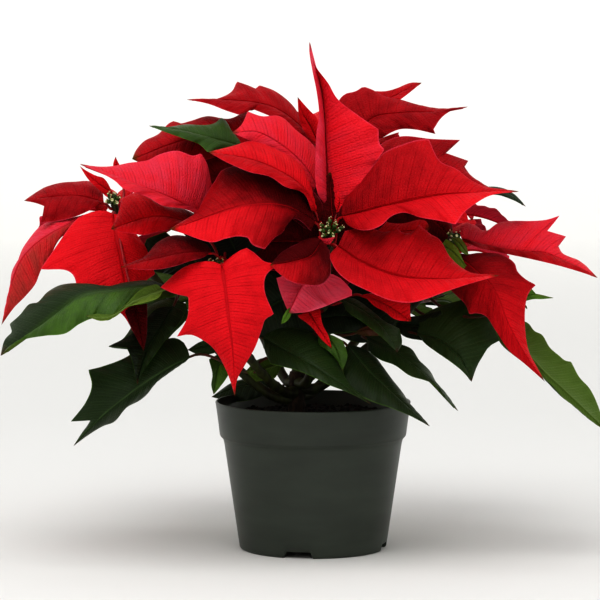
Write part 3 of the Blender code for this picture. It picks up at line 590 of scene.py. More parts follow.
# Bract stalk: smooth, deep red.
BRACT_STALK = NoisySkin("bract_stalk", 0.42, light="#B01820", dark="#7A0A10", patch_mm=9, relief_mm=0.06)
# Woody stem: rough grey-brown bark, cracked along its length.
BARK = NoisySkin("bark", 0.85, light="#4A3A2C", dark="#221A13", patch_mm=3, grain_mm=1.1, relief_mm=0.6,
                 stretch=(1, 1, 0.3), detail=6)
# Young stem: green-brown skin with fine length-wise lines.
YOUNG_STEM = NoisySkin("young_stem", 0.55, light="#414822", dark="#2A2414", patch_mm=5, grain_mm=0.8,
                       relief_mm=0.15, stretch=(1, 1, 0.25))
# Damp peat: nearly black, crumbly and dull.
PEAT = NoisySkin("damp_peat", 0.95, light="#2A2019", dark="#0E0B09", patch_mm=4, grain_mm=1.2, relief_mm=1.0,
                 detail=8)
# Injection-moulded recycled polypropylene: grey-green, satin, with faint flow streaks round the pot.
POT_PLASTIC = NoisySkin("moulded_polypropylene", 0.38, light="#3A4038", dark="#333831", patch_mm=26,
                        grain_mm=0.9, relief_mm=0.03, stretch=(0.4, 0.4, 1.6), detail=3, gloss=0.5)
# Flower cup: smooth dark green.
CUP = NoisySkin("flower_cup", 0.4, light="#4A6420", dark="#1E3610", patch_mm=3, grain_mm=0.6, relief_mm=0.05)
# Nectar gland: wet, pale yellow-green.
GLAND = NoisySkin("nectar_gland", 0.22, light="#E6EAC0", dark="#A8B468", patch_mm=2, grain_mm=0.5,
                  relief_mm=0.03, coat=0.5)
# Stamen tip: pale yellow pollen on a short red thread.
POLLEN = NoisySkin("pollen", 0.8, light="#ECE8C8", dark="#C0AC60", patch_mm=0.6, grain_mm=0.3)
THREAD = NoisySkin("stamen_thread", 0.5, light="#A81A1C", dark="#5A0A0C", patch_mm=2, grain_mm=0.5)
# Backdrop paper: matt and white.
FLOOR_PAPER = StudioPaper("backdrop_paper", 0.9, colour="#DFDEDB", glow=0.34, near=1.0, far=6.0, gloss=0.1)


@dataclass(frozen=True)
class Trunk:
    """The woody main stem: foot and top, the radius at each, and how far branches reach out and sink in."""

    line: np.ndarray
    thick: tuple
    reach: float
    sink: float


TRUNK = Trunk(
    line=np.array(((-16.0, -6.0, 62.0), (-13.0, -4.0, 150.0))), thick=(7.5, 6.5), reach=8.0, sink=2.0
)


@dataclass(frozen=True)
class Branch:
    """A branch from the main stem to a flower head, through the given points."""

    name: str
    foot_z: float
    way: tuple
    from_top: bool = False
    thick: tuple = (4.2, 2.8)

    def line(self, count: int = 60) -> np.ndarray:
        """Its middle line from the main stem to its head.

        Args:
            count: How many points to return.

        Returns:
            The points, one a row.
        """
        low, high = TRUNK.line[0], TRUNK.line[1]
        up = unit(high - low)
        middle = low + (high - low) * (self.foot_z - low[2]) / (high[2] - low[2])
        if self.from_top:
            return smooth_line([high - up * TRUNK.sink, high + up * TRUNK.reach, *self.way], count)
        out = np.array(self.way[0], float) - middle
        out = unit(out - up * (out @ up))
        start = middle + out * (TRUNK.thick[1] - TRUNK.sink)
        return smooth_line([start, start + out * (TRUNK.reach + TRUNK.sink), *self.way], count)

    def spot(self, below: float) -> tuple[np.ndarray, np.ndarray, float]:
        """A place under its head.

        Args:
            below: How far under the head, along the branch.

        Returns:
            The place, the direction of the branch there, and its radius.
        """
        line = self.line()
        long = legs_of(line).sum()
        share = max(1 - below / long, 0.0)
        place = sample(line, np.array([share]))[0]
        near = min(int(share * (len(line) - 1)), len(line) - 2)
        return place, unit(line[near + 1] - line[near]), float(np.interp(share, (0, 1), self.thick))


@dataclass(frozen=True)
class Look:
    """How a leaf differs from its kind: each pair is for its left and right half.

    The first pair is how pale it is, partly paler tissue and partly a painted highlight; the second how far
    it has the other kind's colour; the third how far it is darkened with painted shade. base is painted
    shade that darkens it where it starts. wave is how far its margin waves, and arch how far its halves
    swell.
    """

    pale_and_highlight: tuple = (0.0, 0.0)
    other: tuple = (0.0, 0.0)
    deep_and_shade: tuple = (0.0, 0.0)
    base: float = 0.0
    facing: Facing = Facing.UPPER
    wave: float = 1.2
    arch: float = 0.05


@dataclass(frozen=True)
class Curves:
    """A leaf's rib, both margins at its stations, and the way that its shown side looks."""

    rib: np.ndarray
    left: np.ndarray
    right: np.ndarray
    shown: np.ndarray
    stalk: np.ndarray


@dataclass(frozen=True)
class Leaf:
    """What every leaf has: its name, which starts with its kind, and how far under which head it grows."""

    name: str
    branch: str
    below: float
    look: Look = field(default=Look(), kw_only=True)

    @property
    def tissue(self) -> Tissue:
        """Its kind, which its name starts with."""
        return Tissue(self.name.split("_")[0])

    def stalk_line(self, branch: Branch, base: np.ndarray, first: np.ndarray, count: int = 14) -> np.ndarray:
        """The middle line of the stalk, from inside the branch to the blade.

        Args:
            branch: The branch that carries the leaf.
            base: Where the blade starts.
            first: The way that the blade starts in.
            count: How many points to return.

        Returns:
            The points, one a row.
        """
        middle, along, r = branch.spot(self.below)
        out = base - middle
        out = unit(out - along * (out @ along))
        start = middle + out * r * STALK_ROOT
        pull = np.linalg.norm(base - start) * STALK_BEND
        t = np.linspace(0, 1, count)[:, None]
        leave = (1 - t) ** 3 * start + 3 * t * (1 - t) ** 2 * (start + out * pull)
        return leave + 3 * t * t * (1 - t) * (base - unit(first) * pull) + t**3 * base


@dataclass(frozen=True)
class SeenLeaf(Leaf):
    """A leaf by its outline from the front: rib points (x, z, depth), then both margins (x, z), base to tip.

    lean is how much farther back than the rib the two margins lie.
    """

    rib: tuple
    left: tuple
    right: tuple
    lean: tuple = (0.0, 0.0)

    def beside(self, outline: tuple, stations: np.ndarray) -> np.ndarray:
        """The margin's (x, z) beside each station of the rib.

        Args:
            outline: The margin's points.
            stations: Shares of the way along the leaf.

        Returns:
            One point for each station.
        """
        rib = smooth_line([point[:2] for point in self.rib], RIB_POINTS)
        edge = smooth_line([rib[0], *outline, rib[-1]], EDGE_POINTS, crisp=TOOTH_TURN)
        near = np.array([np.argmin(np.linalg.norm(rib - point, axis=1)) for point in edge]) / (len(rib) - 1)
        near = 0.6 * near + 0.4 * np.linspace(0, 1, len(edge))
        near = np.maximum.accumulate(near) + 1e-6 * np.arange(len(edge))
        near = (near - near[0]) / (near[-1] - near[0])
        return np.column_stack([np.interp(stations, near, edge[:, k]) for k in (0, 1)])

    def curves(self, branch: Branch, stations: np.ndarray) -> Curves:
        """The leaf's lines in space.

        Args:
            branch: The branch that carries it.
            stations: Shares of the way along the leaf.

        Returns:
            Its rib, margins, shown direction and stalk.
        """
        seen = smooth_line(self.rib, RIB_POINTS)
        depth = sample(seen, stations)
        swell = np.sqrt(4 * stations * (1 - stations))
        edges = []
        for outline, lean in zip((self.left, self.right), self.lean):
            edge = self.beside(outline, stations)
            wide = np.linalg.norm(edge - depth[:, :2], axis=1)
            size = max(len(stations) // 5, 3)
            even = np.ones(2 * size + 1) / (2 * size + 1)
            level = np.convolve(np.pad(wide, size, mode="edge"), even, "valid")
            share = np.clip(wide / np.maximum(level, 1e-6), 0.2, 1.7)
            edges.append(from_eye(np.column_stack([edge, depth[:, 2] + lean * swell * share])))
        rib = from_eye(seen)
        stalk = self.stalk_line(branch, rib[0], rib[6] - rib[0])
        return Curves(rib, *edges, unit(EYE - sample(rib, stations)), stalk)


@dataclass(frozen=True)
class TurnedLeaf(Leaf):
    """A leaf by its heading from +X, its rise at the base, its droop to the tip, and its size."""

    heading: float
    rise: float
    droop: float
    length: float
    width: float
    stalk: float = 22.0
    roll: float = 0.0
    lobed: float = 0.25
    fold: float = 20.0

    def half_width(self, stations: np.ndarray, half: int) -> np.ndarray:
        """How wide a half is along the leaf: full at two fifths, with pointed lobes.

        Args:
            stations: Shares of the way along the leaf.
            half: 0 for the left half and 1 for the right.

        Returns:
            One width for each station, in half widths of the leaf.
        """
        plain = np.sin(np.pi * stations**0.75) ** 0.85 * (1 - 0.25 * stations)
        shift = 0.025 if half else -0.02
        lobes = sum(
            tall * np.exp(-np.abs(stations - at - shift) / spread)
            for at, spread, tall in ((0.34, 0.05, 1.0), (0.58, 0.04, 0.7))
        )
        return plain * (1 - 0.45 * self.lobed) + self.lobed * lobes * plain**0.3

    def curves(self, branch: Branch, stations: np.ndarray) -> Curves:
        """The leaf's lines in space.

        Args:
            branch: The branch that carries it.
            stations: Shares of the way along the leaf.

        Returns:
            Its rib, margins, shown direction and stalk.
        """
        heading, rise = math.radians(self.heading), math.radians(self.rise)
        level = np.array([math.cos(heading), math.sin(heading), 0.0])
        side = np.cross((0.0, 0.0, 1.0), level)
        away = level * math.cos(rise) + np.array([0.0, 0.0, math.sin(rise)])
        base = branch.spot(self.below)[0] + away * self.stalk
        angles = np.radians(self.rise - self.droop * np.linspace(0, 1, RIB_POINTS))
        steps = np.outer(np.cos(angles), level) + np.outer(np.sin(angles), (0.0, 0.0, 1.0))
        rib = np.vstack([[0, 0, 0], np.cumsum(steps[:-1], axis=0)]) * self.length / (RIB_POINTS - 1) + base
        tops = np.cross(sample(steps, stations), side)
        edges = []
        for half, sign in enumerate((1, -1)):
            lift = math.radians(self.fold + sign * self.roll)
            across = sign * math.cos(lift) * side + math.sin(lift) * tops
            wide = self.width / 2 * self.half_width(stations, half)
            edges.append(sample(rib, stations) + across * wide[:, None])
        return Curves(rib, *edges, tops, self.stalk_line(branch, base, steps[0]))


@dataclass(frozen=True)
class BladeMaker:
    """Makes a leaf's fine mesh: a puckered blade on its stalk, closed, with its midrib below."""

    station_mm: float = 1.5
    vein_mm: float = 7.5
    sweep: float = 0.12
    thick: float = 0.4
    pucker: float = 0.4
    groove: float = 0.35
    groove_wide: float = 0.06
    body_mm: float = 12.0
    wave_mm: float = 24.0
    base_share: float = 0.7
    crease: float = 0.3
    dry_from: float = 0.95
    stalk_sides: int = 8
    stalk_r: tuple = (1.35, 1.05, 0.3)
    columns: tuple = (0.0, 0.05, 0.15, 0.28, 0.42, 0.56, 0.7, 0.83, 0.94, 1.0)

    def normals(self, grid: np.ndarray, shown: np.ndarray, facing: Facing) -> np.ndarray:
        """The upper side's directions over a grid of points.

        Args:
            grid: Points, base to tip and left to right.
            shown: The way that the shown side looks, for each row.
            facing: Which side is shown.

        Returns:
            One direction for each point.
        """
        out = unit(np.cross(np.gradient(grid, axis=0), np.gradient(grid, axis=1)))
        out[0], out[-1] = out[1], out[-2]
        agrees = (out[1:-1].mean(axis=1) * shown[1:-1]).sum()
        return out * (math.copysign(1, agrees) * facing.value)

    def surface(self, curves: Curves, stations: np.ndarray, count: int, look: Look, seed: int
                ) -> tuple[np.ndarray, np.ndarray]:
        """The blade's upper side.

        Args:
            curves: The leaf's lines.
            stations: Shares of the way along the leaf.
            count: How many side veins each half has.
            look: How the leaf differs from its kind.
            seed: What its waves start from.

        Returns:
            The grid of points, and the upper side's direction at each.
        """
        v = np.array(self.columns)
        m = len(v) - 1
        rib = sample(curves.rib, stations - self.sweep * np.sin(np.pi * stations))
        grid = np.empty((len(stations), 2 * m + 1, 3))
        halves = ((curves.left, m - np.arange(m + 1)), (curves.right, m + np.arange(m + 1)))
        for edge, places in halves:
            grid[:, places] = rib[:, None] * (1 - v)[None, :, None] + edge[:, None] * v[None, :, None]
        up = self.normals(grid, curves.shown, look.facing)
        span = np.linalg.norm(curves.left - curves.right, axis=1)
        body = np.clip(span / self.body_mm, 0, 1)[:, None]
        chance = np.random.default_rng(seed)
        long = legs_of(curves.rib).sum()
        for half, (_, places) in enumerate(halves):
            bulge = np.abs(np.sin(np.pi * (count * stations + 0.5 * half)))[:, None] ** 0.8
            lift = look.arch * span[:, None] * 4 * v * (1 - v)
            lift = lift + self.pucker * body * bulge * np.sin(np.pi * v**0.85) ** 0.7
            lift = lift - self.groove * body * np.exp(-v / self.groove_wide)
            grid[:, places] += up[:, places] * lift[:, :, None]
            start = chance.uniform(0, 2 * math.pi)
            swing = np.sin(start + 2 * math.pi * stations * long / self.wave_mm)
            swing = swing + 0.5 * np.sin(2.3 * start + 5.1 * math.pi * stations * long / self.wave_mm)
            reach = look.wave * (swing * body[:, 0])[:, None] * v**3
            grid[:, places] += curves.shown[:, None] * reach[:, :, None]
        grid[0], grid[-1] = curves.rib[0], curves.rib[-1]
        return grid, self.normals(grid, curves.shown, look.facing)

    def tints(self, shape: tuple, stations: np.ndarray, look: Look) -> np.ndarray:
        """What each point of the blade carries of paleness with painted highlight, the other colour, and
        painted shade.

        Args:
            shape: The grid's rows and columns.
            stations: Shares of the way along the leaf.
            look: How the leaf differs from its kind.

        Returns:
            Three numbers for each point of the grid.
        """
        signed = np.concatenate([-np.array(self.columns[:0:-1]), self.columns])
        right = np.clip(0.5 + signed / self.crease, 0, 1)[None, :]
        made = np.zeros((*shape, 3))
        for k, pair in enumerate((look.pale_and_highlight, look.other, look.deep_and_shade)):
            made[:, :, k] = pair[0] * (1 - right) + pair[1] * right
        # Painted shade: each leaf is darker towards its base, over base_share of its length.
        young = look.base * np.clip(1 - stations / self.base_share, 0, 1)[:, None]
        dry = np.clip((stations - self.dry_from) / (1 - self.dry_from), 0, 1)[:, None]
        made[:, :, 2] = np.maximum(made[:, :, 2] + young, dry)
        made[:, :, 1] = np.maximum(made[:, :, 1], 0.7 * dry)
        return made

    def blade(self, form: Form, curves: Curves, leaf: Leaf, seed: int) -> np.ndarray:
        """Add the blade as a closed shell, upper side, underside and shared margin.

        Args:
            form: The mesh being built.
            curves: The leaf's lines.
            leaf: The leaf.
            seed: What its waves start from.

        Returns:
            The upper side's direction at the rib, for each station.
        """
        long = legs_of(curves.rib).sum()
        rows = len(curves.left)
        stations = np.linspace(0, 1, rows)
        count = max(round(long / self.vein_mm), 3)
        grid, up = self.surface(curves, stations, count, leaf.look, seed)
        columns = grid.shape[1]
        m = columns // 2
        signed = np.concatenate([-np.array(self.columns[:0:-1]), self.columns])
        tints = self.tints(grid.shape[:2], stations, leaf.look)
        top = np.zeros((rows, columns), int)
        top[1:-1] = 1 + np.arange((rows - 2) * columns).reshape(rows - 2, columns)
        top[-1] = 1 + (rows - 2) * columns
        under = top.copy()
        under[1:-1, 1:-1] = top[-1, 0] + 1 + np.arange((rows - 2) * (columns - 2)).reshape(rows - 2, -1)
        below = grid - up * self.thick
        points, carried = (
            np.vstack([over[:1, 0], over[1:-1].reshape(-1, 3), over[-1:, 0], low[1:-1, 1:-1].reshape(-1, 3)])
            for over, low in ((grid, below), (tints, tints))
        )
        half_way = rows // 2
        centre = grid[half_way, m]
        turn = np.cross(grid[half_way + 1, m] - centre, grid[half_way, m + 1] - centre)
        straight = turn @ up[half_way, m] > 0
        wide = np.linalg.norm(curves.left - curves.right, axis=1) / 2
        faces, maps, finish = [], [], []
        for side, index in enumerate((top, under)):
            for i in range(rows - 1):
                for j in range(columns - 1):
                    half = 0.5 if j >= m else 0.0
                    corners = [(i, j), (i + 1, j), (i + 1, j + 1), (i, j + 1)]
                    if i == 0:
                        corners.pop(3)
                    elif i == rows - 2:
                        corners.pop(2)
                    if straight == bool(side):
                        corners.reverse()
                    faces.append([index[c] for c in corners])
                    finish.append(side)
                    maps += [(count * stations[a] + half, signed[b], stations[a] * long / FLAT_MM,
                              signed[b] * wide[a] / FLAT_MM) for a, b in corners]
        form.add(points, faces, finish, maps, carried)
        return up[:, m]

    def make(self, leaf: Leaf, branch: Branch, finishes: list, seed: int) -> bpy.types.Object:
        """Make a leaf with its stalk and midrib.

        Args:
            leaf: The leaf.
            branch: The branch that carries it.
            finishes: Its upper side's, underside's and stalk's materials.
            seed: What its waves start from.

        Returns:
            The leaf's object.
        """
        coarse = leaf.curves(branch, np.linspace(0, 1, 3))
        long = legs_of(coarse.rib).sum()
        rows = int(np.clip(long / self.station_mm, 28, 100))
        curves = leaf.curves(branch, np.linspace(0, 1, rows))
        form = Form()
        up = self.blade(form, curves, leaf, seed)
        along = np.linspace(0, 0.96, max(rows // 2, 12))
        r_stalk = np.linspace(self.stalk_r[0], self.stalk_r[1], len(curves.stalk))
        r_rib = self.stalk_r[2] + (self.stalk_r[1] - self.stalk_r[2]) * (1 - along) ** 1.4
        radii = np.concatenate([r_stalk, r_rib[1:]])
        sink = np.concatenate([np.linspace(0, 1, len(curves.stalk)) ** 2, np.ones(len(along) - 1)])
        ways = sample(up, np.concatenate([np.zeros(len(curves.stalk)), along[1:]]))
        path = np.vstack([curves.stalk, sample(curves.rib, along)[1:]])
        sides = self.stalk_sides
        stalk_faces, rib_faces = (len(curves.stalk) - 1) * sides, (len(along) - 1) * sides
        rib_skin = 0 if leaf.look.facing is Facing.UPPER else 1
        wears = [2] * stalk_faces + [rib_skin] * rib_faces + [2, rib_skin]
        form.tube(path - ways * (sink * (radii + self.thick / 2 + self.groove))[:, None], radii, sides, wears)
        slot = Slot.BRACT if leaf.tissue is Tissue.BRACT else Slot.LEAF
        return form.make(leaf.name + "_grown", finishes, slot)


@dataclass
class Foliage:
    """Every bract and leaf of the plant."""

    leaves: tuple
    extra: set
    branches: dict
    maker: BladeMaker = field(default_factory=BladeMaker)

    def make(self) -> list[bpy.types.Object]:
        """Make all the leaves, each of which replaces the plain one of its name unless it is extra.

        Returns:
            Their objects.
        """
        finishes = {
            Tissue.BRACT: [BRACT_UPPER.make(), BRACT_UNDER.make(), BRACT_STALK.make()],
            Tissue.LEAF: [LEAF_UPPER.make(), LEAF_UNDER.make(), STALK.make()],
        }
        made = []
        for seed, leaf in enumerate(self.leaves):
            made.append(self.maker.make(leaf, self.branches[leaf.branch], finishes[leaf.tissue], seed))
            if leaf.name not in self.extra:
                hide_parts(leaf.name)
        return made


@dataclass
class Stems:
    """The main stem and its branches, with swellings where leaves have fallen."""

    branches: dict
    knot_mm: float = 24.0
    knot: float = 0.14
    knot_wide: float = 0.09
    knot_shift: float = 0.37
    flare_mm: float = 5.0
    flare: float = 0.3

    def swell(self, path: np.ndarray, thick: tuple, seed: int) -> np.ndarray:
        """The radius along a stem.

        Args:
            path: The stem's middle line.
            thick: Its radius at its foot and at its head.
            seed: What its swellings start from.

        Returns:
            One radius for each point.
        """
        run = np.concatenate([[0], np.cumsum(legs_of(path))])
        phase = (run / self.knot_mm + self.knot_shift * seed) % 1.0
        knots = np.exp(-((phase - 0.5) / self.knot_wide) ** 2)
        flare = np.exp(-run / self.flare_mm)
        return np.linspace(*thick, len(path)) * (1 + self.knot * knots + self.flare * flare)

    def make(self) -> list[bpy.types.Object]:
        """Make the stems.

        Returns:
            Their objects.
        """
        bark, young = BARK.make(), YOUNG_STEM.make()
        path = sample(TRUNK.line, np.linspace(0, 1, 50))
        form = Form()
        form.tube(path, self.swell(path, TRUNK.thick, 0), 20)
        made = [form.make("stem_main_grown", [bark], Slot.BARK)]
        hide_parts("stem_main")
        for seed, branch in enumerate(self.branches.values()):
            path = branch.line(90)
            form = Form()
            form.tube(path, self.swell(path, branch.thick, seed), 14)
            stem = form.make(f"stem_{branch.name}_grown", [young], Slot.BARK)
            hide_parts(f"stem_{branch.name}")
            made.append(stem)
        return made


# Sections (radius, height) of a flower's cup, its gland and a stamen's tip, for a cup with a height of one.
CUP_SHAPE = np.array(((0, -0.1), (0.22, 0.0), (0.4, 0.22), (0.46, 0.5), (0.42, 0.78), (0.28, 0.97),
                      (0.2, 1.0), (0.16, 0.9), (0, 0.8)))
GLAND_SHAPE = np.array(((0, -0.12), (0.2, -0.06), (0.27, 0.06), (0.22, 0.17), (0.1, 0.14), (0, 0.08)))
POLLEN_SHAPE = np.array(((0, -1), (0.8, -0.6), (1, 0), (0.8, 0.6), (0, 1))) * 0.09
# The same of a crumb of peat with a size of one.
CRUMB_SHAPE = np.array(((0, -0.8), (0.7, -0.6), (1.1, 0.0), (0.8, 0.5), (0, 0.75)))


@dataclass(frozen=True)
class FlowerHead:
    """A head of small true flowers: green cups on short stalks, each with a yellow gland and stamens."""

    name: str
    branch: str
    cups: int
    spread: float
    cup: float
    looks: tuple
    hides: bool = True
    stamens: int = 3

    def make(self, branch: Branch, finishes: list, seed: int) -> bpy.types.Object:
        """Make the head.

        Args:
            branch: The branch that carries it.
            finishes: The cup's, gland's, pollen's and thread's materials.
            seed: What its unevenness starts from.

        Returns:
            The head's object.
        """
        chance = np.random.default_rng(seed)
        end = branch.line()[-1]
        axis = unit(self.looks)
        side = unit(np.cross(axis, (0.2, 0.3, 1.0)))
        other = np.cross(side, axis)
        form = Form()
        for i in range(self.cups):
            share = math.sqrt((i + 0.4) / self.cups)
            turn = i * FLOWER_TURN + seed
            out = math.cos(turn) * side + math.sin(turn) * other
            tall = self.cup * chance.uniform(0.8, 1.15)
            way = unit(axis + out * share * 0.6 + chance.uniform(-0.12, 0.12, 3))
            foot = end + out * share * self.spread + axis * self.cup * (0.9 - 0.5 * share)
            self.flower(form, end, foot, way, out, tall, chance)
        made = form.make(self.name + "_grown", finishes, Slot.FLOWER)
        if self.hides:
            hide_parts(self.name)
        return made

    def flower(self, form: Form, end: np.ndarray, foot: np.ndarray, way: np.ndarray, out: np.ndarray,
               tall: float, chance: np.random.Generator) -> None:
        """Add one flower.

        Args:
            form: The mesh being built.
            end: The branch's end.
            foot: Where the cup stands.
            way: The direction that it stands in.
            out: The direction away from the head's middle.
            tall: The cup's height.
            chance: Where its unevenness comes from.
        """
        form.spun(CUP_SHAPE * tall, 14, foot, way, 0, wave=0.05)
        form.tube(smooth_line([end - way * 0.5, (end + foot) / 2 - way * 0.4, foot + way * 0.3], 6),
                  np.full(6, tall * 0.16), 8)
        form.spun(GLAND_SHAPE * tall, 12, foot + way * tall * 0.8 + out * tall * 0.36, unit(out + way), 1)
        for _ in range(self.stamens):
            lean = unit(way + chance.uniform(-0.45, 0.45, 3))
            start = foot + way * tall * 0.85
            tip = start + lean * tall * chance.uniform(0.35, 0.7)
            form.tube(np.array([start, (start + tip) / 2, tip]), np.full(3, tall * 0.045), 6, 3)
            form.spun(POLLEN_SHAPE * tall, 8, tip, lean, 2)


@dataclass
class Pot:
    """The moulded nursery pot: tapered wall, deep lip band, foot ring with four drain notches."""

    rim_r: float = 82.5
    height: float = 125.0
    lip: float = 29.0
    lip_low_r: float = 78.8
    neck_r: float = 75.6
    base_r: float = 62.0
    wall: float = 1.5
    step: float = 3.0
    foot: float = 7.0
    notch: float = 23.0
    notch_tall: float = 5.2
    notch_turn: float = -12.0
    sides: int = 288

    def body_r(self, z: float) -> float:
        """The outer radius below the lip at a height."""
        return self.base_r + (self.neck_r - self.base_r) * z / (self.height - self.lip - self.step)

    def profile(self) -> list[tuple[float, float]]:
        """The wall's section, from the underside's middle round the outside to the floor's middle.

        Returns:
            Points (radius, height).
        """
        neck, low = self.height - self.lip - self.step, self.height - self.lip
        base, rim, wall = self.base_r, self.rim_r, self.wall
        foot = [(0, self.foot - 1.5), (base - 9, self.foot - 1.5), (base - 6, self.foot - 2.2),
                (base - 5.0, 2.0), (base - 4.4, 0.4), (base - 3.8, 0.0), (base - 1.6, 0.0), (base - 0.5, 0.5),
                (self.body_r(1.6), 1.6)]
        body = [(self.body_r(z), z) for z in (4.0, 8.0, 14.0, 25.0, 40.0, 55.0, 70.0, 80.0, 88.0)]
        step = [(self.body_r(neck - 2.5) + 0.1, neck - 2.5), (self.neck_r + 0.4, neck),
                (self.neck_r + 1.4, neck + 1.2), (self.lip_low_r - 0.9, low - 0.8),
                (self.lip_low_r - 0.3, low - 0.1), (self.lip_low_r + 0.05, low + 0.9)]
        lip = [(self.lip_low_r + 1.2, low + 10), (self.lip_low_r + 2.5, low + 20),
               (rim - 0.15, self.height - 1.6), (rim, self.height - 0.9), (rim - 0.25, self.height - 0.25),
               (rim - 0.8, self.height)]
        inside = [(rim - wall, self.height - 0.1), (rim - wall - 0.4, self.height - 0.8),
                  (self.lip_low_r - wall, low), (self.neck_r - wall, neck - wall),
                  (self.body_r(self.foot + 4) - wall, self.foot + 4), (base - 7, self.foot + 0.4)]
        return [*foot, *body, *step, *lip, *inside, (0, self.foot + 0.2)]

    def notch_at(self, turn: float) -> float:
        """How high the foot ring is cut away.

        Args:
            turn: The angle round the pot.

        Returns:
            The height, which is 0 between the notches.
        """
        step = math.pi / 2
        away = (turn - math.radians(self.notch_turn) + math.pi / 2 + step / 2) % step - step / 2
        across = abs(away) * self.base_r
        return self.notch_tall * min(max((self.notch / 2 - across) / 1.6 + 0.5, 0.0), 1.0)

    def make(self) -> bpy.types.Object:
        """Make the pot.

        Returns:
            The pot's object.
        """
        profile = self.profile()
        points = [np.array((0.0, 0.0, profile[0][1]))]
        for r, z in profile[1:-1]:
            for k in range(self.sides):
                turn = 2 * math.pi * k / self.sides
                cut = self.notch_at(turn) if r > self.base_r - 8 and z < self.foot - 2 else 0.0
                top = self.foot + 2
                points.append(np.array((r * math.cos(turn), r * math.sin(turn), cut + z * (top - cut) / top)))
        points.append(np.array((0.0, 0.0, profile[-1][1])))
        form = Form()
        form.add(np.array(points), round_faces(len(profile) - 2, self.sides))
        made = form.make("pot_moulded", [POT_PLASTIC.make()], Slot.POT, sharp=50)
        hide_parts("pot")
        return made


@dataclass
class Soil:
    """The peat that fills the pot, with loose crumbs on top."""

    pot: Pot
    top: float = 113.0
    swell: float = 2.5
    bump: float = 1.6
    crumbs: int = 420
    rings: int = 44
    sides: int = 132
    edge_sunk: float = 0.8

    def height_at(self, x: float, y: float) -> float:
        """The height of the uneven top of the peat.

        Args:
            x: The place to the right of the pot's axis.
            y: The place behind the pot's axis.

        Returns:
            Its height there.
        """
        r = math.hypot(x, y) / self.pot.neck_r
        rough = math.sin(x * 0.21 + 1.3 * math.sin(y * 0.13)) + math.sin(y * 0.27 + 1.7 * math.sin(x * 0.11))
        fine = math.sin(x * 0.83 + 2.1 * math.sin(y * 0.71)) * math.sin(y * 0.91 + 1.9 * math.sin(x * 0.63))
        return self.top + self.swell * (1 - r * r) + self.bump * (0.3 * rough + 0.5 * fine - 0.6)

    def make(self) -> bpy.types.Object:
        """Make the peat and its crumbs.

        Returns:
            The soil's object.
        """
        rim = self.pot.lip_low_r - self.pot.wall - 0.2
        low = self.pot.foot + 2
        points = [(0.0, 0.0, self.height_at(0, 0))]
        for ring in range(1, self.rings + 1):
            r = (rim + 1.4) * ring / self.rings
            for x, y in circle(self.sides):
                sunk = self.edge_sunk if ring == self.rings else 0
                points.append((r * x, r * y, self.height_at(r * x, r * y) - sunk))
        neck = self.pot.height - self.pot.lip - self.pot.step
        for r, z in ((rim, neck + self.pot.step), (self.pot.neck_r - self.pot.wall - 0.4, neck - 2),
                     (self.pot.base_r - 4, low)):
            points += [(r * x, r * y, z) for x, y in circle(self.sides)]
        points.append((0.0, 0.0, low))
        form = Form()
        form.add(np.array(points), round_faces(self.rings + 3, self.sides, inward=True))
        chance = np.random.default_rng(7)
        for _ in range(self.crumbs):
            r, turn = rim * math.sqrt(chance.uniform(0, 0.96)), chance.uniform(0, 2 * math.pi)
            place = np.array((r * math.cos(turn), r * math.sin(turn), 0.0))
            size = chance.uniform(0.6, 2.0)
            place[2] = self.height_at(place[0], place[1]) + size * 0.3
            form.spun(CRUMB_SHAPE * size, 6, place, chance.uniform(-1, 1, 3), 0, wave=0.15, lobes=2)
        made = form.make("soil_packed", [PEAT.make()], Slot.SOIL, sharp=80)
        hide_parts("soil")
        return made


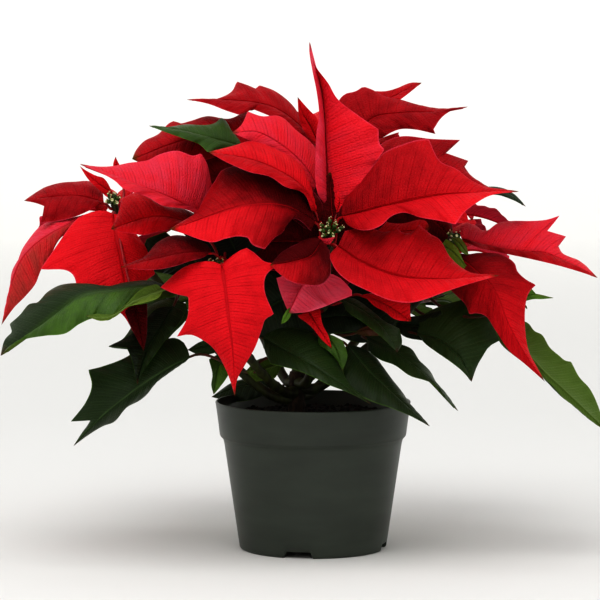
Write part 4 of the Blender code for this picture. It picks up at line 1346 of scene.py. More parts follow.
@dataclass
class Studio:
    """A plain pale floor that runs up into a round backdrop, soft light from above, and the camera."""

    floor_r: float = 4.6
    wall_r: float = 5.6
    wall: float = 4.0
    sides: int = 96
    room: str = "#F4F6FA"
    room_light: float = 0.6

    def backdrop(self) -> bpy.types.Object:
        """Make the floor and backdrop as one bowl of paper.

        Returns:
            The bowl's object.
        """
        bend = self.wall_r - self.floor_r
        profile = [(0.0, 0.0), (0.5, 0.0), (1.5, 0.0), (3.0, 0.0), (self.floor_r, 0.0)]
        for i in range(1, 13):
            turn = math.pi / 2 * i / 12
            profile.append((self.floor_r + bend * math.sin(turn), bend * (1 - math.cos(turn))))
        profile.append((self.wall_r, self.wall))
        points = [(r * x, r * y, z) for r, z in profile[1:] for x, y in circle(self.sides)]
        faces = [tuple(range(self.sides))]
        for start in range(0, len(points) - self.sides, self.sides):
            for k in range(self.sides):
                after = (k + 1) % self.sides
                faces.append((start + k, start + self.sides + k, start + self.sides + after, start + after))
        mesh = bpy.data.meshes.new("backdrop")
        mesh.from_pydata(points, [], faces)
        mesh.shade_smooth()
        mesh.materials.append(FLOOR_PAPER.make())
        made = bpy.data.objects.new("backdrop", mesh)
        bpy.context.scene.collection.objects.link(made)
        made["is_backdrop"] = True
        return made

    def lamp(self, name: str, place: tuple, aim: tuple, size: float, power: float) -> bpy.types.Object:
        """Hang a soft square lamp.

        Args:
            name: The lamp's name.
            place: Where it hangs, in metres.
            aim: What it points at, in metres.
            size: The length of its side, in metres.
            power: Its power in watts.

        Returns:
            The lamp.
        """
        light = bpy.data.lights.new(name, "AREA")
        light.shape = "SQUARE"
        light.size = size
        light.energy = power
        made = bpy.data.objects.new(name, light)
        made.location = place
        made.rotation_mode = "QUATERNION"
        made.rotation_quaternion = (Vector(aim) - Vector(place)).to_track_quat("-Z", "Y")
        bpy.context.scene.collection.objects.link(made)
        return made

    def camera(self) -> bpy.types.Object:
        """Set the camera at the eye of the front view.

        Returns:
            The camera.
        """
        lens = bpy.data.cameras.new("front_view")
        lens.sensor_width = SENSOR
        lens.lens = LENS
        lens.clip_end = 50
        made = bpy.data.objects.new("front_view", lens)
        made.location = Vector(EYE) * MM
        made.rotation_euler = (math.pi / 2 - PITCH, 0, 0)
        bpy.context.scene.collection.objects.link(made)
        bpy.context.scene.camera = made
        return made

    def make(self) -> None:
        """Make the studio."""
        self.camera()
        self.backdrop()
        self.lamp("overhead_softbox", place=(-0.45, -1.4, 3.1), aim=(0, 0, 0.2), size=2.5, power=48)
        self.lamp("front_fill", place=(0.6, -3.4, 1.3), aim=(0, 0, 0.25), size=2.2, power=5)
        world = bpy.data.worlds.new("white_room")
        world.use_nodes = True
        room = world.node_tree.nodes["Background"].inputs
        room["Color"].default_value = linear(self.room)
        room["Strength"].default_value = self.room_light
        bpy.context.scene.world = world
        bpy.context.scene.view_settings.view_transform = "Standard"
        bpy.context.scene.view_settings.look = "High Contrast"


BRANCHES = (
    Branch("front_centre", 141, ((2, -34, 165), (10, -62, 215), (13, -66, 250), (14, -72, 271))),
    Branch("front_left", 133, ((-40, -42, 150), (-64, -84, 190), (-72, -106, 228), (-77, -116, 244))),
    Branch("left", 127, ((-60, -10, 150), (-120, -14, 215), (-158, -8, 265), (-167, -10, 292))),
    Branch("right", 136, ((30, -8, 158), (82, -16, 205), (108, -26, 240), (116, -30, 261))),
    Branch("back_centre", 150, ((-10, 2, 175), (-4, 22, 240), (2, 36, 300), (3, 40, 335)), True),
    Branch("back_upper_right", 145, ((8, 16, 170), (24, 36, 230), (32, 46, 290), (33, 50, 328))),
    Branch("back_left", 140, ((-34, 30, 160), (-62, 84, 215), (-78, 112, 260), (-84, 120, 290))),
    Branch("back_right", 130, ((20, 34, 152), (64, 92, 205), (86, 118, 250), (92, 126, 280))),
)

# A leaf's look darkens it, or one half of it, with painted shade where it lies in the shadow of the leaves
# above.
# Each leaf's branch and place under its head, then its rib, both margins and how far back they lie.
SEEN_LEAVES = (
    SeenLeaf("bract_centre_upright", "front_centre", 6,
             rib=((13, 287, -50), (10, 338, -41), (8, 380, -28), (-3, 427, -12)),
             left=((4, 300), (2, 330), (3, 352), (5, 365), (3, 385), (-1, 405), (-3, 418)),
             right=((21, 289), (35, 300), (49, 321), (60, 337), (56, 342), (55, 354), (36, 367), (20, 380),
                    (13, 392), (1, 409)), lean=(-20, -22), look=Look(pale_and_highlight=(0.6, 0.15))),
    SeenLeaf("bract_centre_upper_left", "front_centre", 9,
             rib=((3, 286, -68), (-7, 304, -76), (-28, 319, -82), (-53, 329, -84), (-88, 335, -84)),
             left=((-2, 306), (-11, 325), (-32, 338), (-52, 344), (-68, 340)),
             right=((-1, 285), (-8, 300), (-24, 306), (-36, 314), (-53, 318), (-74, 327)), lean=(26, -18),
             look=Look(deep_and_shade=(0.1, 0.3))),
    SeenLeaf("bract_centre_back_left", "front_centre", 12,
             rib=((8, 296, -46), (-6, 322, -44), (-28, 342, -46), (-48, 352, -50), (-68, 351, -52)),
             left=((2, 338), (-15, 354), (-28, 365), (-43, 365), (-55, 369), (-60, 358)),
             right=((-4, 306), (-18, 324), (-38, 338), (-54, 345)), lean=(22, -4),
             look=Look(pale_and_highlight=(0.25, 0.35))),
    SeenLeaf("bract_rear_left_toothed", "back_centre", 6,
             rib=((0, 344, 32), (-12, 358, 26), (-32, 372, 18), (-60, 378, 8), (-106, 379, -8)),
             left=((-2, 352), (-11, 365), (-19, 376), (-32, 386), (-45, 391), (-48, 388), (-55, 391),
                   (-64, 394), (-68, 386), (-79, 380), (-89, 377)),
             right=((-6, 345), (-26, 360), (-53, 372), (-62, 366), (-74, 370), (-87, 375)), lean=(24, -14),
             look=Look(deep_and_shade=(0.5, 0.5))),
    SeenLeaf("bract_rear_right_toothed", "back_upper_right", 6,
             rib=((34, 337, 44), (48, 362, 40), (75, 368, 32), (105, 369, 22), (130, 373, 12)),
             left=((22, 350), (19, 372), (26, 383), (36, 386), (42, 390), (50, 387), (59, 382), (73, 379),
                   (94, 373), (110, 371)),
             right=((45, 340), (57, 346), (65, 351), (73, 354), (84, 354), (103, 350), (101, 354),
                    (108, 364), (117, 370)), lean=(24, -14), look=Look(deep_and_shade=(0.55, 0.6))),
    SeenLeaf("bract_rear_right_slim", "back_upper_right", 3,
             rib=((34, 343, 60), (52, 372, 66), (72, 384, 64), (91, 393, 60)),
             left=((38, 372), (50, 386), (61, 386), (69, 388), (82, 393)),
             right=((46, 352), (62, 370), (80, 384)), lean=(10, -10), look=Look(deep_and_shade=(0.4, 0.4))),
    SeenLeaf("bract_centre_right", "front_centre", 12,
             rib=((24, 281, -68), (48, 286, -80), (73, 292, -88), (107, 299, -94), (141, 301, -98),
                  (173, 302, -100)),
             left=((25, 292), (40, 310), (55, 329), (59, 334), (77, 342), (87, 345), (97, 346), (107, 327),
                   (120, 321), (132, 312), (145, 306), (158, 304)),
             right=((30, 273), (44, 269), (57, 273), (66, 281), (76, 284), (90, 280), (107, 277),
                    (120, 274), (127, 284), (133, 289), (148, 298)), lean=(20, -32),
             look=Look(deep_and_shade=(0.3, 0.0), base=0.4)),
    SeenLeaf("bract_centre_right_shaded", "front_centre", 15,
             rib=((30, 296, -52), (62, 316, -44), (104, 320, -42), (152, 303, -50)),
             left=((40, 325), (58, 342), (73, 348), (99, 346), (125, 345), (109, 335), (132, 327),
                   (127, 323), (132, 316), (140, 310)), right=((45, 296), (75, 297), (110, 300), (138, 301)),
             lean=(24, -10), look=Look(deep_and_shade=(0.6, 0.6))),
    SeenLeaf("bract_centre_lower_right", "front_centre", 9,
             rib=((21, 256, -92), (40, 243, -106), (73, 230, -118), (107, 228, -124), (132, 229, -128),
                  (157, 231, -132)),
             left=((27, 269), (48, 271), (58, 268), (68, 269), (70, 272), (76, 267), (84, 268), (89, 274),
                   (99, 266), (106, 262), (116, 246), (132, 234)),
             right=((13, 248), (19, 236), (27, 228), (44, 219), (65, 210), (82, 208), (95, 211),
                    (111, 217), (132, 224)), lean=(26, -30),
             look=Look(deep_and_shade=(0.25, 0.05), base=0.4, wave=2.2)),
    SeenLeaf("bract_centre_front", "front_centre", 15,
             rib=((7, 261, -90), (-2, 248, -108), (-18, 243, -122), (-36, 240, -132)),
             left=((2, 263), (-15, 257), (-27, 250)),
             right=((13, 253), (15, 236), (14, 230), (7, 223), (-8, 223), (-19, 226), (-29, 233)),
             lean=(10, -14), look=Look(deep_and_shade=(1.0, 0.45), base=0.9)),
    SeenLeaf("bract_low_folded", "front_centre", 44,
             rib=((10, 233, -88), (-1, 229, -96), (-9, 222, -102), (-16, 208, -106), (-20, 199, -108)),
             left=((-8, 235), (-31, 229), (-28, 218), (-23, 205)),
             right=((20, 231), (28, 224), (35.5, 215), (20, 209), (8, 204), (-6, 200)), lean=(6, -8),
             look=Look(pale_and_highlight=(0.45, 0.5), facing=Facing.UNDER, wave=0.4)),
    SeenLeaf("bract_centre_left", "front_centre", 18,
             rib=((2, 277, -80), (-22, 290, -94), (-53, 291, -108), (-83, 283, -112), (-108, 274, -114),
                  (-121, 270, -114)),
             left=((-6, 298), (-28, 315), (-54, 323), (-76, 320), (-83, 310), (-90, 299), (-98, 285),
                   (-101, 282), (-111, 276)),
             right=((-2, 268), (-7, 274), (-15, 279), (-22, 278), (-25, 268), (-32, 263), (-41, 253),
                    (-51, 257), (-55, 263), (-63, 264), (-74, 262), (-84, 259), (-91, 260), (-108, 266)),
             lean=(34, -22), look=Look(deep_and_shade=(0.55, 0.0), base=1.3, wave=2.0)),
    SeenLeaf("bract_front_left_hanging", "front_left", 5,
             rib=((-77, 240, -130), (-74, 220, -144), (-71, 194, -152), (-68, 169, -154), (-66, 128, -148)),
             left=((-85, 243), (-107, 239), (-129, 221), (-118, 216), (-105, 213), (-106, 196),
                   (-115, 179), (-104, 181), (-91, 175), (-84, 169), (-74, 152), (-69, 139)),
             right=((-68, 248), (-57, 255), (-49, 250), (-41, 243), (-26, 241), (-39, 232), (-41, 220),
                    (-33, 198), (-40, 194), (-43, 186), (-49, 170), (-57, 156), (-64, 143)), lean=(14, 12)),
    SeenLeaf("bract_front_left_pointing", "front_left", 8,
             rib=((-86, 251, -122), (-103, 251, -128), (-130, 246, -134), (-162, 238, -138)),
             left=((-88, 256), (-95, 260), (-116, 265), (-131, 259), (-142, 247), (-152, 242)),
             right=((-91, 247), (-104, 243), (-116, 239), (-131, 236), (-146, 236)), lean=(26, -8),
             look=Look(deep_and_shade=(0.8, 0.6), base=0.3)),
    SeenLeaf("bract_front_left_shaded", "front_left", 11,
             rib=((-88, 262, -94), (-106, 276, -80), (-130, 281, -82), (-150, 277, -90), (-170, 270, -100)),
             left=((-92, 276), (-108, 287), (-127, 290), (-138, 296), (-146, 301), (-160, 297),
                   (-164, 284)),
             right=((-97, 263), (-108, 271), (-129, 268), (-143, 265), (-150, 266), (-163, 268)),
             lean=(26, -14), look=Look(deep_and_shade=(0.3, 0.1), base=1.0)),
    SeenLeaf("bract_left_long", "front_left", 15,
             rib=((-84, 276, -58), (-99, 285, -72), (-127, 299, -100), (-154, 309, -114),
                  (-196, 325, -122)),
             left=((-82, 290), (-86, 312), (-89, 325), (-94, 334), (-100, 332), (-114, 336), (-129, 333),
                   (-139, 328), (-154, 326), (-170, 323), (-184, 323)),
             right=((-92, 280), (-108, 287), (-127, 290), (-139, 297), (-159, 304), (-167, 311),
                    (-180, 318)), lean=(30, -22), look=Look(pale_and_highlight=(0.4, 0.3))),
    SeenLeaf("bract_left_back", "back_centre", 12,
             rib=((-34, 342, 14), (-68, 350, -2), (-108, 345, -22), (-152, 329, -40)),
             left=((-44, 360), (-57, 369), (-70, 363), (-89, 365), (-103, 361), (-112, 359), (-117, 361),
                   (-121, 359), (-130, 350), (-142, 344), (-149, 336)),
             right=((-44, 334), (-66, 334), (-100, 326), (-136, 322)), lean=(26, -14),
             look=Look(deep_and_shade=(0.5, 0.5))),
    SeenLeaf("bract_far_left_upper", "left", 4,
             rib=((-176, 293, -12), (-195, 298, -14), (-215, 298, -12), (-243, 294, -6)),
             left=((-178, 304), (-186, 310), (-201, 310), (-213, 309), (-226, 305), (-236, 299)),
             right=((-184, 288), (-205, 279), (-229, 275), (-227, 281), (-225, 289), (-233, 292)),
             lean=(26, -18), look=Look(deep_and_shade=(0.55, 0.6))),
    SeenLeaf("bract_far_left_outer", "left", 8,
             rib=((-190, 283, -26), (-205, 275, -34), (-222, 266, -42), (-235, 257, -48), (-247, 243, -52),
                  (-263, 189, -50)),
             left=((-205, 279), (-218, 278), (-229, 273), (-239, 262), (-245, 253), (-250, 240),
                   (-254, 232), (-256, 211), (-258, 202)),
             right=((-197, 273), (-213, 262), (-222, 246), (-229, 236), (-234, 224), (-243, 213),
                    (-252, 204)), lean=(20, 0), look=Look(pale_and_highlight=(0.5, 0.3), other=(0.0, 0.35))),
    SeenLeaf("bract_far_left_hanging", "left", 12,
             rib=((-168, 283, -30), (-164, 257, -54), (-160, 236, -66), (-157, 215, -74), (-143, 170, -82)),
             left=((-176, 286), (-184, 285), (-197, 280), (-203, 274), (-216, 256), (-230, 236),
                   (-224, 236), (-207, 235), (-202, 231), (-197, 217), (-175, 206), (-161, 198),
                   (-151, 182)),
             right=((-160, 282), (-152, 270), (-142, 257), (-133, 232), (-142, 226), (-143, 205),
                    (-141, 185)), lean=(0, 10)),
    SeenLeaf("bract_right_pointing", "right", 4,
             rib=((125, 262, -38), (154, 254, -46), (175, 251, -52), (196, 250, -56), (213, 243, -58),
                  (240, 229, -56)),
             left=((122, 271), (128, 275), (137, 273), (143, 269), (149, 270), (155, 275), (167, 277),
                   (183, 277), (196, 278), (209, 282), (196, 269), (213, 264), (206, 257), (210, 250),
                   (225, 243)), right=((140, 254), (154, 251), (183, 245), (208, 239), (225, 234)),
             lean=(30, -12), look=Look(pale_and_highlight=(0.2, 0.0), deep_and_shade=(0.0, 0.4), base=0.4)),
    SeenLeaf("bract_right_hanging", "right", 8,
             rib=((118, 250, -46), (134, 238, -70), (152, 220, -86), (165, 190, -94), (180, 163, -92),
                  (196, 141, -84)),
             left=((110, 244), (108, 232), (113, 222), (122, 213), (128, 207), (132, 198), (137, 199),
                   (145, 197), (153, 186), (166, 167), (179, 156)),
             right=((135, 248), (150, 250), (160, 248), (170, 241), (172, 235), (179, 228), (188, 223),
                    (183, 218), (180, 211), (180, 177), (183, 165), (189, 154)), lean=(8, 14),
             look=Look(deep_and_shade=(0.1, 0.1), base=1.0)),
    SeenLeaf("leaf_upper_left", "back_centre", 40,
             rib=((-60, 340, -20), (-85, 347, -34), (-110, 353, -46), (-138, 357, -58)),
             left=((-62, 345), (-69, 354), (-73, 361), (-77, 364), (-83, 359), (-108, 358), (-129, 355)),
             right=((-66, 337), (-74, 337), (-89, 335), (-95, 341), (-108, 346), (-125, 352)), lean=(24, -12),
             look=Look(pale_and_highlight=(0.15, 0.15))),
    SeenLeaf("leaf_left_wide", "front_left", 34,
             rib=((-112, 217, -96), (-137, 222, -106), (-163, 219, -112), (-197, 213, -112),
                  (-218, 198, -110), (-239, 181, -106), (-264, 163, -100)),
             left=((-124, 221), (-138, 226), (-163, 224), (-180, 220), (-201, 224), (-213, 223),
                   (-224, 217), (-233, 208), (-239, 207), (-247, 198), (-256, 190), (-254, 183),
                   (-260, 177)),
             right=((-116, 213), (-125, 212), (-142, 207), (-154, 205), (-164, 199), (-173, 193),
                    (-184, 195), (-197, 190), (-209, 182), (-226, 180), (-243, 177), (-256, 171)),
             lean=(26, -14), look=Look(pale_and_highlight=(0.0, 0.3), deep_and_shade=(0.5, 0.0), wave=2.0)),
    SeenLeaf("leaf_left_hanging", "left", 92,
             rib=((-116, 210, -44), (-128, 192, -46), (-139, 170, -46), (-149, 139, -40)),
             left=((-124, 211), (-141, 203), (-154, 186), (-161, 177), (-169, 173), (-174, 170),
                   (-157, 169), (-154, 162), (-151, 150)),
             right=((-106, 207), (-106, 196), (-119, 181), (-133, 165), (-142, 152)), lean=(14, -6)),
    SeenLeaf("leaf_lower_left", "front_left", 118,
             rib=((-104, 162, -64), (-125, 151, -76), (-152, 133, -86), (-178, 112, -92), (-203, 86, -92)),
             left=((-108, 173), (-116, 178), (-125, 177), (-147, 171), (-156, 163), (-178, 154),
                   (-190, 151), (-187, 138), (-192, 124), (-205, 107), (-184, 119), (-189, 107),
                   (-196, 97)),
             right=((-108, 159), (-125, 147), (-137, 137), (-144, 127), (-159, 118), (-168, 107),
                    (-178, 103), (-191, 95)), lean=(14, 22), look=Look(deep_and_shade=(0.45, 0.35))),
    SeenLeaf("leaf_front_over_rim", "front_centre", 112,
             rib=((-42, 178, -72), (-25, 169, -90), (-8, 160, -102), (12, 147, -110), (31, 135, -114),
                  (49, 122, -114)),
             left=((-36, 185), (-22, 187), (0, 182), (17, 167), (24, 159), (27, 145), (40, 130)),
             right=((-41, 168), (-36, 156), (-15, 151), (-2, 146), (14, 138), (27, 133), (38, 128)),
             lean=(18, -14), look=Look(deep_and_shade=(0.1, 0.3))),
    SeenLeaf("leaf_front_right_dark", "front_centre", 96,
             rib=((30, 172, -72), (48, 150, -86), (66, 133, -96), (82, 118, -100), (99, 103, -98)),
             left=((40, 170), (52, 163), (59, 154), (67, 143), (75, 133), (83, 121)),
             right=((24, 155), (29, 137), (48, 125), (65, 119), (82, 112)), lean=(26, -12),
             look=Look(deep_and_shade=(0.5, 0.5))),
    SeenLeaf("leaf_centre_short", "front_centre", 60,
             rib=((24, 211, -76), (40, 203, -84), (58, 188, -92), (71, 166, -92)),
             left=((35, 211), (52, 199), (63, 190), (73, 186), (75, 173)),
             right=((28, 202), (44, 190), (60, 177)), lean=(18, -10)),
    SeenLeaf("leaf_front_right_long", "right", 108,
             rib=((46, 178, -50), (73, 165, -68), (99, 142, -80), (111, 129, -82), (123, 116, -80)),
             left=((60, 181), (74, 173), (83, 169), (90, 159), (99, 150), (104, 141), (112, 131)),
             right=((46, 168), (56, 160), (69, 155), (82, 146), (95, 142), (102, 139), (110, 129)),
             lean=(20, -10)),
    SeenLeaf("leaf_right_upper", "right", 16,
             rib=((112, 286, -12), (130, 296, -18), (150, 302, -26), (165, 300, -32), (179, 289, -36)),
             left=((120, 296), (135, 303), (150, 306), (164, 303), (173, 296)),
             right=((124, 289), (140, 296), (153, 299), (167, 295)), lean=(10, -4),
             look=Look(deep_and_shade=(0.7, 0.7))),
    SeenLeaf("leaf_right_outer", "right", 66,
             rib=((152, 188, -36), (178, 167, -54), (196, 148, -66), (208, 137, -68), (225, 121, -66),
                  (247, 100, -60)),
             left=((164, 194), (181, 191), (187, 184), (193, 181), (200, 170), (208, 163), (213, 159),
                   (218, 158), (225, 145), (234, 135), (242, 118)),
             right=((158, 174), (170, 163), (181, 156), (188, 150), (202, 138), (213, 126), (220, 121),
                    (234, 109), (242, 103)), lean=(26, -8), look=Look(facing=Facing.UNDER)),
    SeenLeaf("leaf_right_inner", "right", 84,
             rib=((88, 182, -44), (105, 178, -54), (122, 165, -62), (134, 141, -64)),
             left=((92, 196), (107, 205), (116, 208), (128, 211), (148, 197), (158, 176), (149, 171),
                   (143, 162), (139, 155)), right=((94, 174), (103, 167), (116, 158), (126, 150)),
             lean=(14, -8)),
)

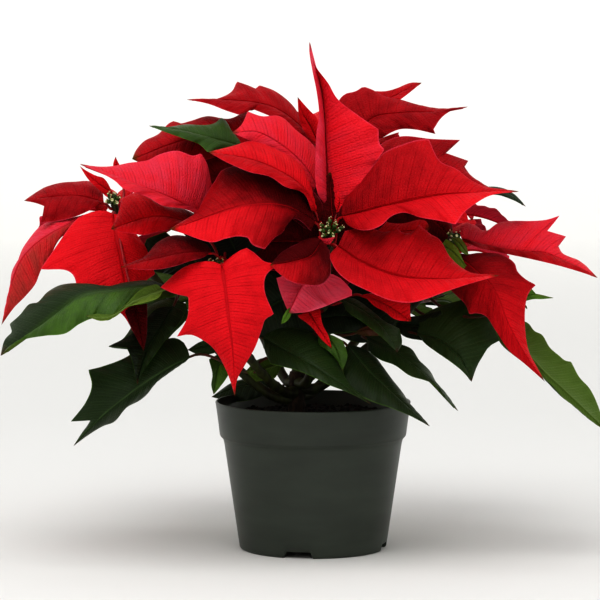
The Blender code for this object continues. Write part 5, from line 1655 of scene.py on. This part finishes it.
# Leaves that only show a tip or an edge from the front, or that stand in the shade between others. Most of
# those that stand between others are dark sheets, darkened all over with painted shade, that fill gaps where
# only shade shows.
EDGE_LEAVES = (
    SeenLeaf("bract_inner_top", "back_centre", 2,
             rib=((6, 338, 22), (-2, 356, 18), (-9, 368, 14), (-13, 381, 12)),
             left=((-2, 345), (-9, 355), (-12, 366)), right=((8, 350), (4, 362), (-5, 372))),
    SeenLeaf("bract_low_spike", "front_centre", 66, rib=((-4, 201, -86), (4, 188, -94), (16, 169, -98)),
             left=((-14, 197), (-2, 188), (8, 176)), right=((6, 203), (8, 190), (13, 180))),
    SeenLeaf("bract_inner_dark", "front_centre", 4, rib=((20, 284, -58), (24, 298, -56), (27, 311, -52)),
             left=((18, 294), (22, 304)), right=((29, 288), (30, 300))),
    SeenLeaf("bract_inner_curl", "front_centre", 5,
             rib=((5, 263, -86), (8, 260, -91), (13, 259, -94), (19, 264, -94)), left=((8, 262), (13, 262.5)),
             right=((7, 258), (14, 257)), look=Look(pale_and_highlight=(0.3, 0.3), deep_and_shade=(0.4, 0.2))),
    SeenLeaf("bract_centre_right_wavy", "front_centre", 18,
             rib=((30, 262, -56), (60, 267, -60), (98, 270, -62)),
             left=((49, 276), (58, 279), (63, 276), (75, 275), (92, 278), (96, 276)),
             right=((45, 256), (70, 256), (90, 262)), lean=(12, -6)),
    SeenLeaf("bract_low_right_sliver", "front_centre", 60,
             rib=((42, 215, -78), (62, 206, -90), (83, 192, -94)),
             left=((54, 216), (69, 211), (82, 208), (82, 200)), right=((52, 205), (61, 200), (69, 194)),
             lean=(8, -6)),
    SeenLeaf("bract_far_left_small", "left", 6, rib=((-168, 300, -8), (-181, 309, -12), (-196, 323, -12)),
             left=((-176, 313), (-182, 315), (-190, 319)), right=((-175, 299), (-182, 305), (-189, 312))),
    SeenLeaf("bract_left_tip", "left", 3, rib=((-160, 306, 2), (-164, 320, 2), (-166, 331, 0)),
             left=((-165, 314), (-168, 324)), right=((-157, 316), (-163, 325))),
    SeenLeaf("leaf_right_mottled", "right", 6, rib=((108, 257, -50), (118, 251, -60), (134, 232, -68)),
             left=((112, 262), (120, 256), (128, 241)), right=((107, 250), (116, 243), (126, 236)),
             look=Look(pale_and_highlight=(1.6, 1.6), other=(0.4, 0.4))),
    SeenLeaf("leaf_right_mottled_small", "right", 4, rib=((116, 263, -48), (123, 258, -56), (131, 248, -58)),
             left=((124, 263), (129, 256)), right=((121, 255), (126, 250)),
             look=Look(pale_and_highlight=(0.8, 0.8), other=(0.5, 0.2))),
    SeenLeaf("leaf_right_bright", "right", 40, rib=((116, 222, -56), (136, 219, -64), (150, 206, -68)),
             left=((126, 225), (137, 224), (145, 215)), right=((122, 217), (138, 213), (144, 208)),
             look=Look(pale_and_highlight=(0.9, 0.9))),
    SeenLeaf("leaf_right_tip", "right", 50, rib=((168, 206, -66), (184, 215, -64), (203, 212, -62)),
             left=((176, 216), (184, 220), (190, 214), (196, 213)),
             right=((178, 209), (186, 211), (192, 211)), look=Look(pale_and_highlight=(0.6, 0.6))),
    SeenLeaf("leaf_centre_bright", "front_centre", 84, rib=((4, 180, -86), (17, 173, -96), (25, 150, -100)),
             left=((14, 181), (25, 176), (29, 163)), right=((5, 173), (13, 167), (21, 158)),
             look=Look(pale_and_highlight=(0.3, 0.3))),
    SeenLeaf("leaf_centre_dark", "front_centre", 76, rib=((2, 195, -60), (30, 197, -72), (61, 187, -80)),
             left=((6, 204), (27, 209), (52, 195)), right=((10, 181), (40, 184)), lean=(10, -6),
             look=Look(deep_and_shade=(0.9, 0.9))),
    SeenLeaf("leaf_centre_brown", "front_centre", 80, rib=((35, 182, -82), (48, 186, -90), (62, 181, -92)),
             left=((42, 187), (50, 189), (57, 187)), right=((43, 180), (54, 180)),
             look=Look(other=(0.8, 0.8))),
    SeenLeaf("leaf_left_small", "front_left", 92, rib=((-72, 177, -36), (-88, 172, -48), (-106, 168, -54)),
             left=((-78, 178), (-95, 175)), right=((-80, 167), (-96, 164))),
    SeenLeaf("leaf_left_inner_hanging", "front_left", 104,
             rib=((-74, 168, -30), (-80, 154, -44), (-84, 130, -50)),
             left=((-88, 160), (-85, 147), (-86, 138)), right=((-68, 158), (-72, 146), (-79, 136)),
             look=Look(pale_and_highlight=(0.2, 0.5))),
    SeenLeaf("leaf_centre_left_turned", "front_left", 110,
             rib=((-24, 158, -30), (-40, 152, -44), (-57, 150, -50)), left=((-30, 161), (-46, 160)),
             right=((-32, 144), (-48, 141)), look=Look(facing=Facing.UNDER)),
    SeenLeaf("bract_shade_left", "back_centre", 50,
             rib=((-6, 300, 10), (-30, 312, -8), (-62, 316, -24), (-104, 300, -36)),
             left=((-12, 322), (-34, 338), (-64, 342), (-88, 338), (-100, 318)),
             right=((-10, 280), (-36, 284), (-64, 288), (-84, 290)), lean=(10, -8),
             look=Look(deep_and_shade=(0.9, 0.9))),
    SeenLeaf("bract_shade_low_left", "front_centre", 34,
             rib=((12, 256, -54), (-16, 260, -62), (-44, 258, -66), (-72, 246, -68)),
             left=((-2, 284), (-16, 292), (-34, 292), (-56, 286), (-66, 264)),
             right=((-2, 238), (-22, 234), (-40, 236), (-58, 240)), lean=(8, -6),
             look=Look(deep_and_shade=(1.0, 1.0))),
    SeenLeaf("bract_shade_inner_left", "front_centre", 3,
             rib=((6, 276, -66), (-4, 286, -66), (-16, 300, -66), (-26, 312, -66)),
             left=((-6, 270), (-22, 284), (-30, 300)), right=((8, 290), (-2, 304), (-16, 314)),
             look=Look(deep_and_shade=(1.0, 1.0))),
    SeenLeaf("bract_shade_inner_right", "front_centre", 4,
             rib=((20, 274, -62), (34, 282, -62), (50, 284, -62), (66, 284, -60)),
             left=((24, 290), (38, 298), (54, 292)), right=((28, 262), (44, 264), (58, 272)),
             look=Look(deep_and_shade=(1.0, 1.0))),
    SeenLeaf("bract_shade_right", "back_upper_right", 52,
             rib=((30, 290, 20), (56, 298, 4), (88, 288, -12), (120, 260, -22)),
             left=((40, 316), (66, 322), (94, 312), (112, 288)),
             right=((36, 272), (58, 268), (80, 256), (104, 248)), lean=(10, -8), look=Look(deep_and_shade=(0.9, 0.9))),
    SeenLeaf("leaf_shade_centre", "front_centre", 70,
             rib=((2, 226, -48), (-14, 216, -58), (-34, 206, -66), (-58, 192, -70)),
             left=((-8, 244), (-28, 244), (-46, 232), (-58, 210)), right=((12, 196), (10, 176), (-40, 176)),
             look=Look(deep_and_shade=(0.8, 0.8))),
    SeenLeaf("leaf_shade_low", "back_centre", 110,
             rib=((6, 214, 0), (20, 206, -16), (40, 196, -30), (66, 180, -40)),
             left=((16, 232), (40, 230), (64, 210), (72, 194)), right=((2, 196), (18, 182), (40, 174)),
             look=Look(deep_and_shade=(0.8, 0.8))),
    SeenLeaf("leaf_shade_right", "right", 70,
             rib=((70, 224, -30), (86, 230, -44), (104, 230, -54), (124, 222, -58)),
             left=((76, 244), (96, 252), (114, 244)), right=((78, 218), (96, 217), (112, 219)),
             look=Look(deep_and_shade=(0.8, 0.8))),
    SeenLeaf("leaf_shade_left", "left", 60,
             rib=((-104, 236, -16), (-112, 246, -30), (-126, 252, -40), (-146, 246, -46)),
             left=((-112, 256), (-124, 268), (-140, 262)), right=((-108, 230), (-122, 232), (-138, 236)),
             look=Look(deep_and_shade=(0.8, 0.8))),
    SeenLeaf("bract_shade_behind_flowers", "front_centre", 2,
             rib=((16, 270, -60), (16, 284, -56), (15, 300, -52), (14, 318, -48)),
             left=((2, 276), (-3, 290), (2, 306)), right=((30, 276), (34, 290), (28, 306)),
             look=Look(deep_and_shade=(1.0, 1.0))),
    SeenLeaf("bract_shade_under_flowers", "front_centre", 24,
             rib=((20, 274, -52), (19, 250, -60), (15, 230, -66), (9, 212, -68)),
             left=((4, 262), (0, 242), (2, 222)), right=((38, 270), (42, 246), (28, 222)),
             look=Look(deep_and_shade=(0.9, 0.9))),
    SeenLeaf("leaf_shade_front_left", "front_left", 22,
             rib=((-58, 230, -64), (-64, 248, -68), (-74, 270, -66), (-88, 288, -60)),
             left=((-80, 232), (-104, 248), (-108, 274)), right=((-42, 238), (-38, 256), (-54, 280)),
             look=Look(deep_and_shade=(1.0, 1.0))),
    SeenLeaf("leaf_shade_right_low", "right", 96,
             rib=((68, 190, -30), (84, 188, -38), (100, 188, -44), (114, 184, -46)),
             left=((78, 195), (94, 198), (108, 202)), right=((76, 180), (92, 176), (106, 174)),
             look=Look(deep_and_shade=(0.9, 0.9))),
    SeenLeaf("leaf_hooked_tip", "front_centre", 52,
             rib=((-19, 204, -106), (-22, 198, -108), (-27, 190, -108)), left=((-22, 202), (-25.5, 196)),
             right=((-18.5, 198), (-22.5, 192)), look=Look(pale_and_highlight=(1.0, 1.0))),
    SeenLeaf("leaf_left_hanging_front", "left", 90,
             rib=((-118, 205, -60), (-128, 188, -70), (-139, 170, -81), (-145, 153, -93),
                  (-148.5, 138.5, -103)),
             left=((-132, 203), (-148, 186), (-161, 177), (-174, 170.5), (-158, 171), (-154, 162),
                   (-151, 150)), right=((-108, 200), (-112, 192), (-121, 181), (-137, 159), (-144, 149)),
             look=Look(deep_and_shade=(0.9, 0.5))),
    # A dark sheet of painted shade laid over the tip of bract_far_left_hanging, where that tip lies in
    # shadow.
    SeenLeaf("bract_far_left_shaded_tip", "left", 14,
             rib=((-151, 208, -84), (-147, 191, -90), (-143, 167, -92)),
             left=((-159, 201), (-155, 190), (-149, 178)), right=((-140, 208), (-140, 193), (-140.5, 180)),
             look=Look(deep_and_shade=(1.0, 1.0))),
    SeenLeaf("leaf_left_wide_fold", "front_left", 36,
             rib=((-126, 219, -122), (-140, 214, -126), (-154, 207.5, -130), (-163, 200.5, -132),
                  (-175, 195, -131), (-192, 197, -128)),
             left=((-132, 224), (-143, 220.5), (-150, 215), (-158, 206.5), (-170, 198.5), (-182, 198.5)),
             right=((-130, 212.5), (-142, 208), (-157, 204), (-167, 196), (-178, 192.5), (-186, 194.5)),
             look=Look(facing=Facing.UNDER, pale_and_highlight=(0.2, 1.2))),
    SeenLeaf("leaf_over_back_rim", "back_left", 118, rib=((-30, 138, 30), (-58, 138, 46), (-86, 128, 56)),
             left=((-40, 143), (-52, 144), (-67, 141)), right=((-45, 128), (-66, 124)), lean=(10, -6),
             look=Look(deep_and_shade=(0.6, 0.6))),
)

# Each leaf's branch, place under its head, heading, rise, droop, length, width and stalk.
TURNED_LEAVES = (
    TurnedLeaf("bract_back_centre_a", "back_centre", 3, 96, 38, 60, 104, 56, 14),
    TurnedLeaf("bract_back_centre_b", "back_centre", 16, 160, 12, 46, 92, 50, 16),
    TurnedLeaf("bract_back_upper_right_a", "back_upper_right", 13, 20, 18, 52, 98, 52, 16),
    TurnedLeaf("bract_back_left_a", "back_left", 4, 120, 20, 62, 106, 58, 14),
    TurnedLeaf("bract_back_left_b", "back_left", 8, 182, 14, 66, 98, 54, 14, roll=8),
    TurnedLeaf("bract_back_left_c", "back_left", 12, 62, 8, 62, 90, 50, 14),
    TurnedLeaf("bract_back_right_a", "back_right", 4, 60, 22, 62, 106, 58, 14),
    TurnedLeaf("bract_back_right_b", "back_right", 8, -8, 14, 62, 100, 54, 14, roll=-8),
    TurnedLeaf("bract_back_right_c", "back_right", 12, 128, 6, 60, 88, 50, 14),
    TurnedLeaf("leaf_back_left_low", "back_left", 84, 140, 6, 60, 110, 66, 36),
    TurnedLeaf("leaf_back_right_low", "back_right", 84, 52, 4, 60, 108, 64, 36),
    TurnedLeaf("leaf_back_centre_low", "back_left", 110, 84, 2, 62, 104, 62, 40),
)

# More leaves behind and between, by branch: how far under the head, heading, rise, droop, length and width.
MORE_BRACTS = {
    "front_centre": ((10, 84, 30, 50, 62, 34), (20, 128, 16, 40, 70, 38)),
    "front_left": ((12, 70, 24, 50, 60, 34), (18, 118, 10, 46, 66, 38)),
    "left": ((6, 92, 26, 64, 80, 44), (10, 146, 14, 64, 84, 46), (16, 44, 10, 50, 70, 40)),
    "right": ((6, 86, 26, 62, 82, 46), (12, 48, 12, 58, 78, 42), (18, 128, 10, 52, 70, 40)),
    "back_centre": ((8, 58, 26, 58, 92, 54), (12, 124, 22, 62, 100, 58), (22, 84, 6, 62, 104, 62)),
    "back_upper_right": ((6, 62, 30, 64, 92, 54), (16, 108, 14, 60, 98, 56), (24, 40, 2, 58, 98, 58)),
    "back_left": ((6, 216, 18, 60, 86, 50), (14, 92, 4, 66, 100, 60), (18, 150, 0, 60, 96, 58),
                  (10, 30, 14, 44, 74, 46)),
    "back_right": ((6, 96, 20, 66, 92, 56), (14, 26, 2, 60, 98, 58), (18, 164, 6, 50, 84, 50),
                   (10, -46, 14, 44, 64, 36)),
}
MORE_LEAVES = {
    "back_left": ((58, 168, 4, 56, 104, 62), (66, 112, 0, 62, 100, 60), (98, 204, 2, 58, 92, 54)),
    "back_right": ((58, 22, 4, 56, 104, 62), (66, 86, 0, 62, 98, 58), (96, -18, 4, 56, 84, 50)),
    "left": ((60, 118, 0, 58, 92, 54),),
    "right": ((60, 58, 0, 58, 92, 54),),
    "back_centre": ((62, 100, 4, 58, 112, 68), (100, 66, 0, 64, 108, 64), (128, 122, 0, 62, 104, 62)),
    "back_upper_right": ((58, 54, 4, 58, 108, 64), (96, 96, 0, 62, 104, 62), (126, 28, 0, 60, 96, 58)),
}

# Each head's branch, how many cups it has, how far they spread, a cup's height, and the way that it looks.
FLOWER_HEADS = (
    FlowerHead("flowers_front_centre", "front_centre", 12, 8.6, 4.3, (0.0, -0.7, 0.8)),
    FlowerHead("flowers_front_left", "front_left", 6, 4.5, 5.0, (0.05, -0.6, 0.8)),
    FlowerHead("flowers_far_left", "left", 7, 5.0, 5.0, (-0.1, -0.5, 0.85)),
    FlowerHead("flowers_back_centre", "back_centre", 8, 6.5, 5.0, (0.0, 0.1, 1.0)),
    FlowerHead("flowers_right", "right", 5, 4.0, 4.6, (0.1, -0.4, 0.9), hides=False),
    FlowerHead("flowers_back_upper_right", "back_upper_right", 6, 5.0, 4.8, (0.1, 0.2, 1.0), hides=False),
    FlowerHead("flowers_back_left", "back_left", 9, 6.5, 5.2, (-0.1, 0.35, 0.95), hides=False),
    FlowerHead("flowers_back_right", "back_right", 9, 6.5, 5.2, (0.1, 0.35, 0.95), hides=False),
)


def more_leaves() -> list[TurnedLeaf]:
    """The leaves behind and between, written out of their short tables.

    Returns:
        The leaves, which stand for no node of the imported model.
    """
    made = []
    for tissue, table, stalk in ((Tissue.BRACT, MORE_BRACTS, 12.0), (Tissue.LEAF, MORE_LEAVES, 34.0)):
        for branch, rows in table.items():
            for i, row in enumerate(rows):
                name = f"{tissue.value}_{branch}_more_{i + 1}"
                lobed = 0.2 + 0.1 * (i % 3)
                made.append(TurnedLeaf(name, branch, *row, stalk, lobed=lobed, look=Look(wave=1.8)))
    return made


def main() -> None:
    """Build the plant's pieces in order and report each."""
    logging.basicConfig(level=logging.INFO, format="%(message)s")
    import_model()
    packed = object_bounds()
    Studio().make()
    branches = {branch.name: branch for branch in BRANCHES}
    pot = Pot()
    pot.make()
    Soil(pot).make()
    Stems(branches).make()
    more = more_leaves()
    extra = {leaf.name for leaf in (*EDGE_LEAVES, *more)}
    Foliage((*SEEN_LEAVES, *EDGE_LEAVES, *TURNED_LEAVES, *more), extra, branches).make()
    finishes = [CUP.make(), GLAND.make(), POLLEN.make(), THREAD.make()]
    for seed, head in enumerate(FLOWER_HEADS):
        head.make(branches[head.branch], finishes, seed)
    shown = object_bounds()
    boxes = {"packed": packed, "shown": shown}
    {title: [list(corner) for corner in box] for title, box in boxes.items()}


if __name__ == "__main__":
    main()
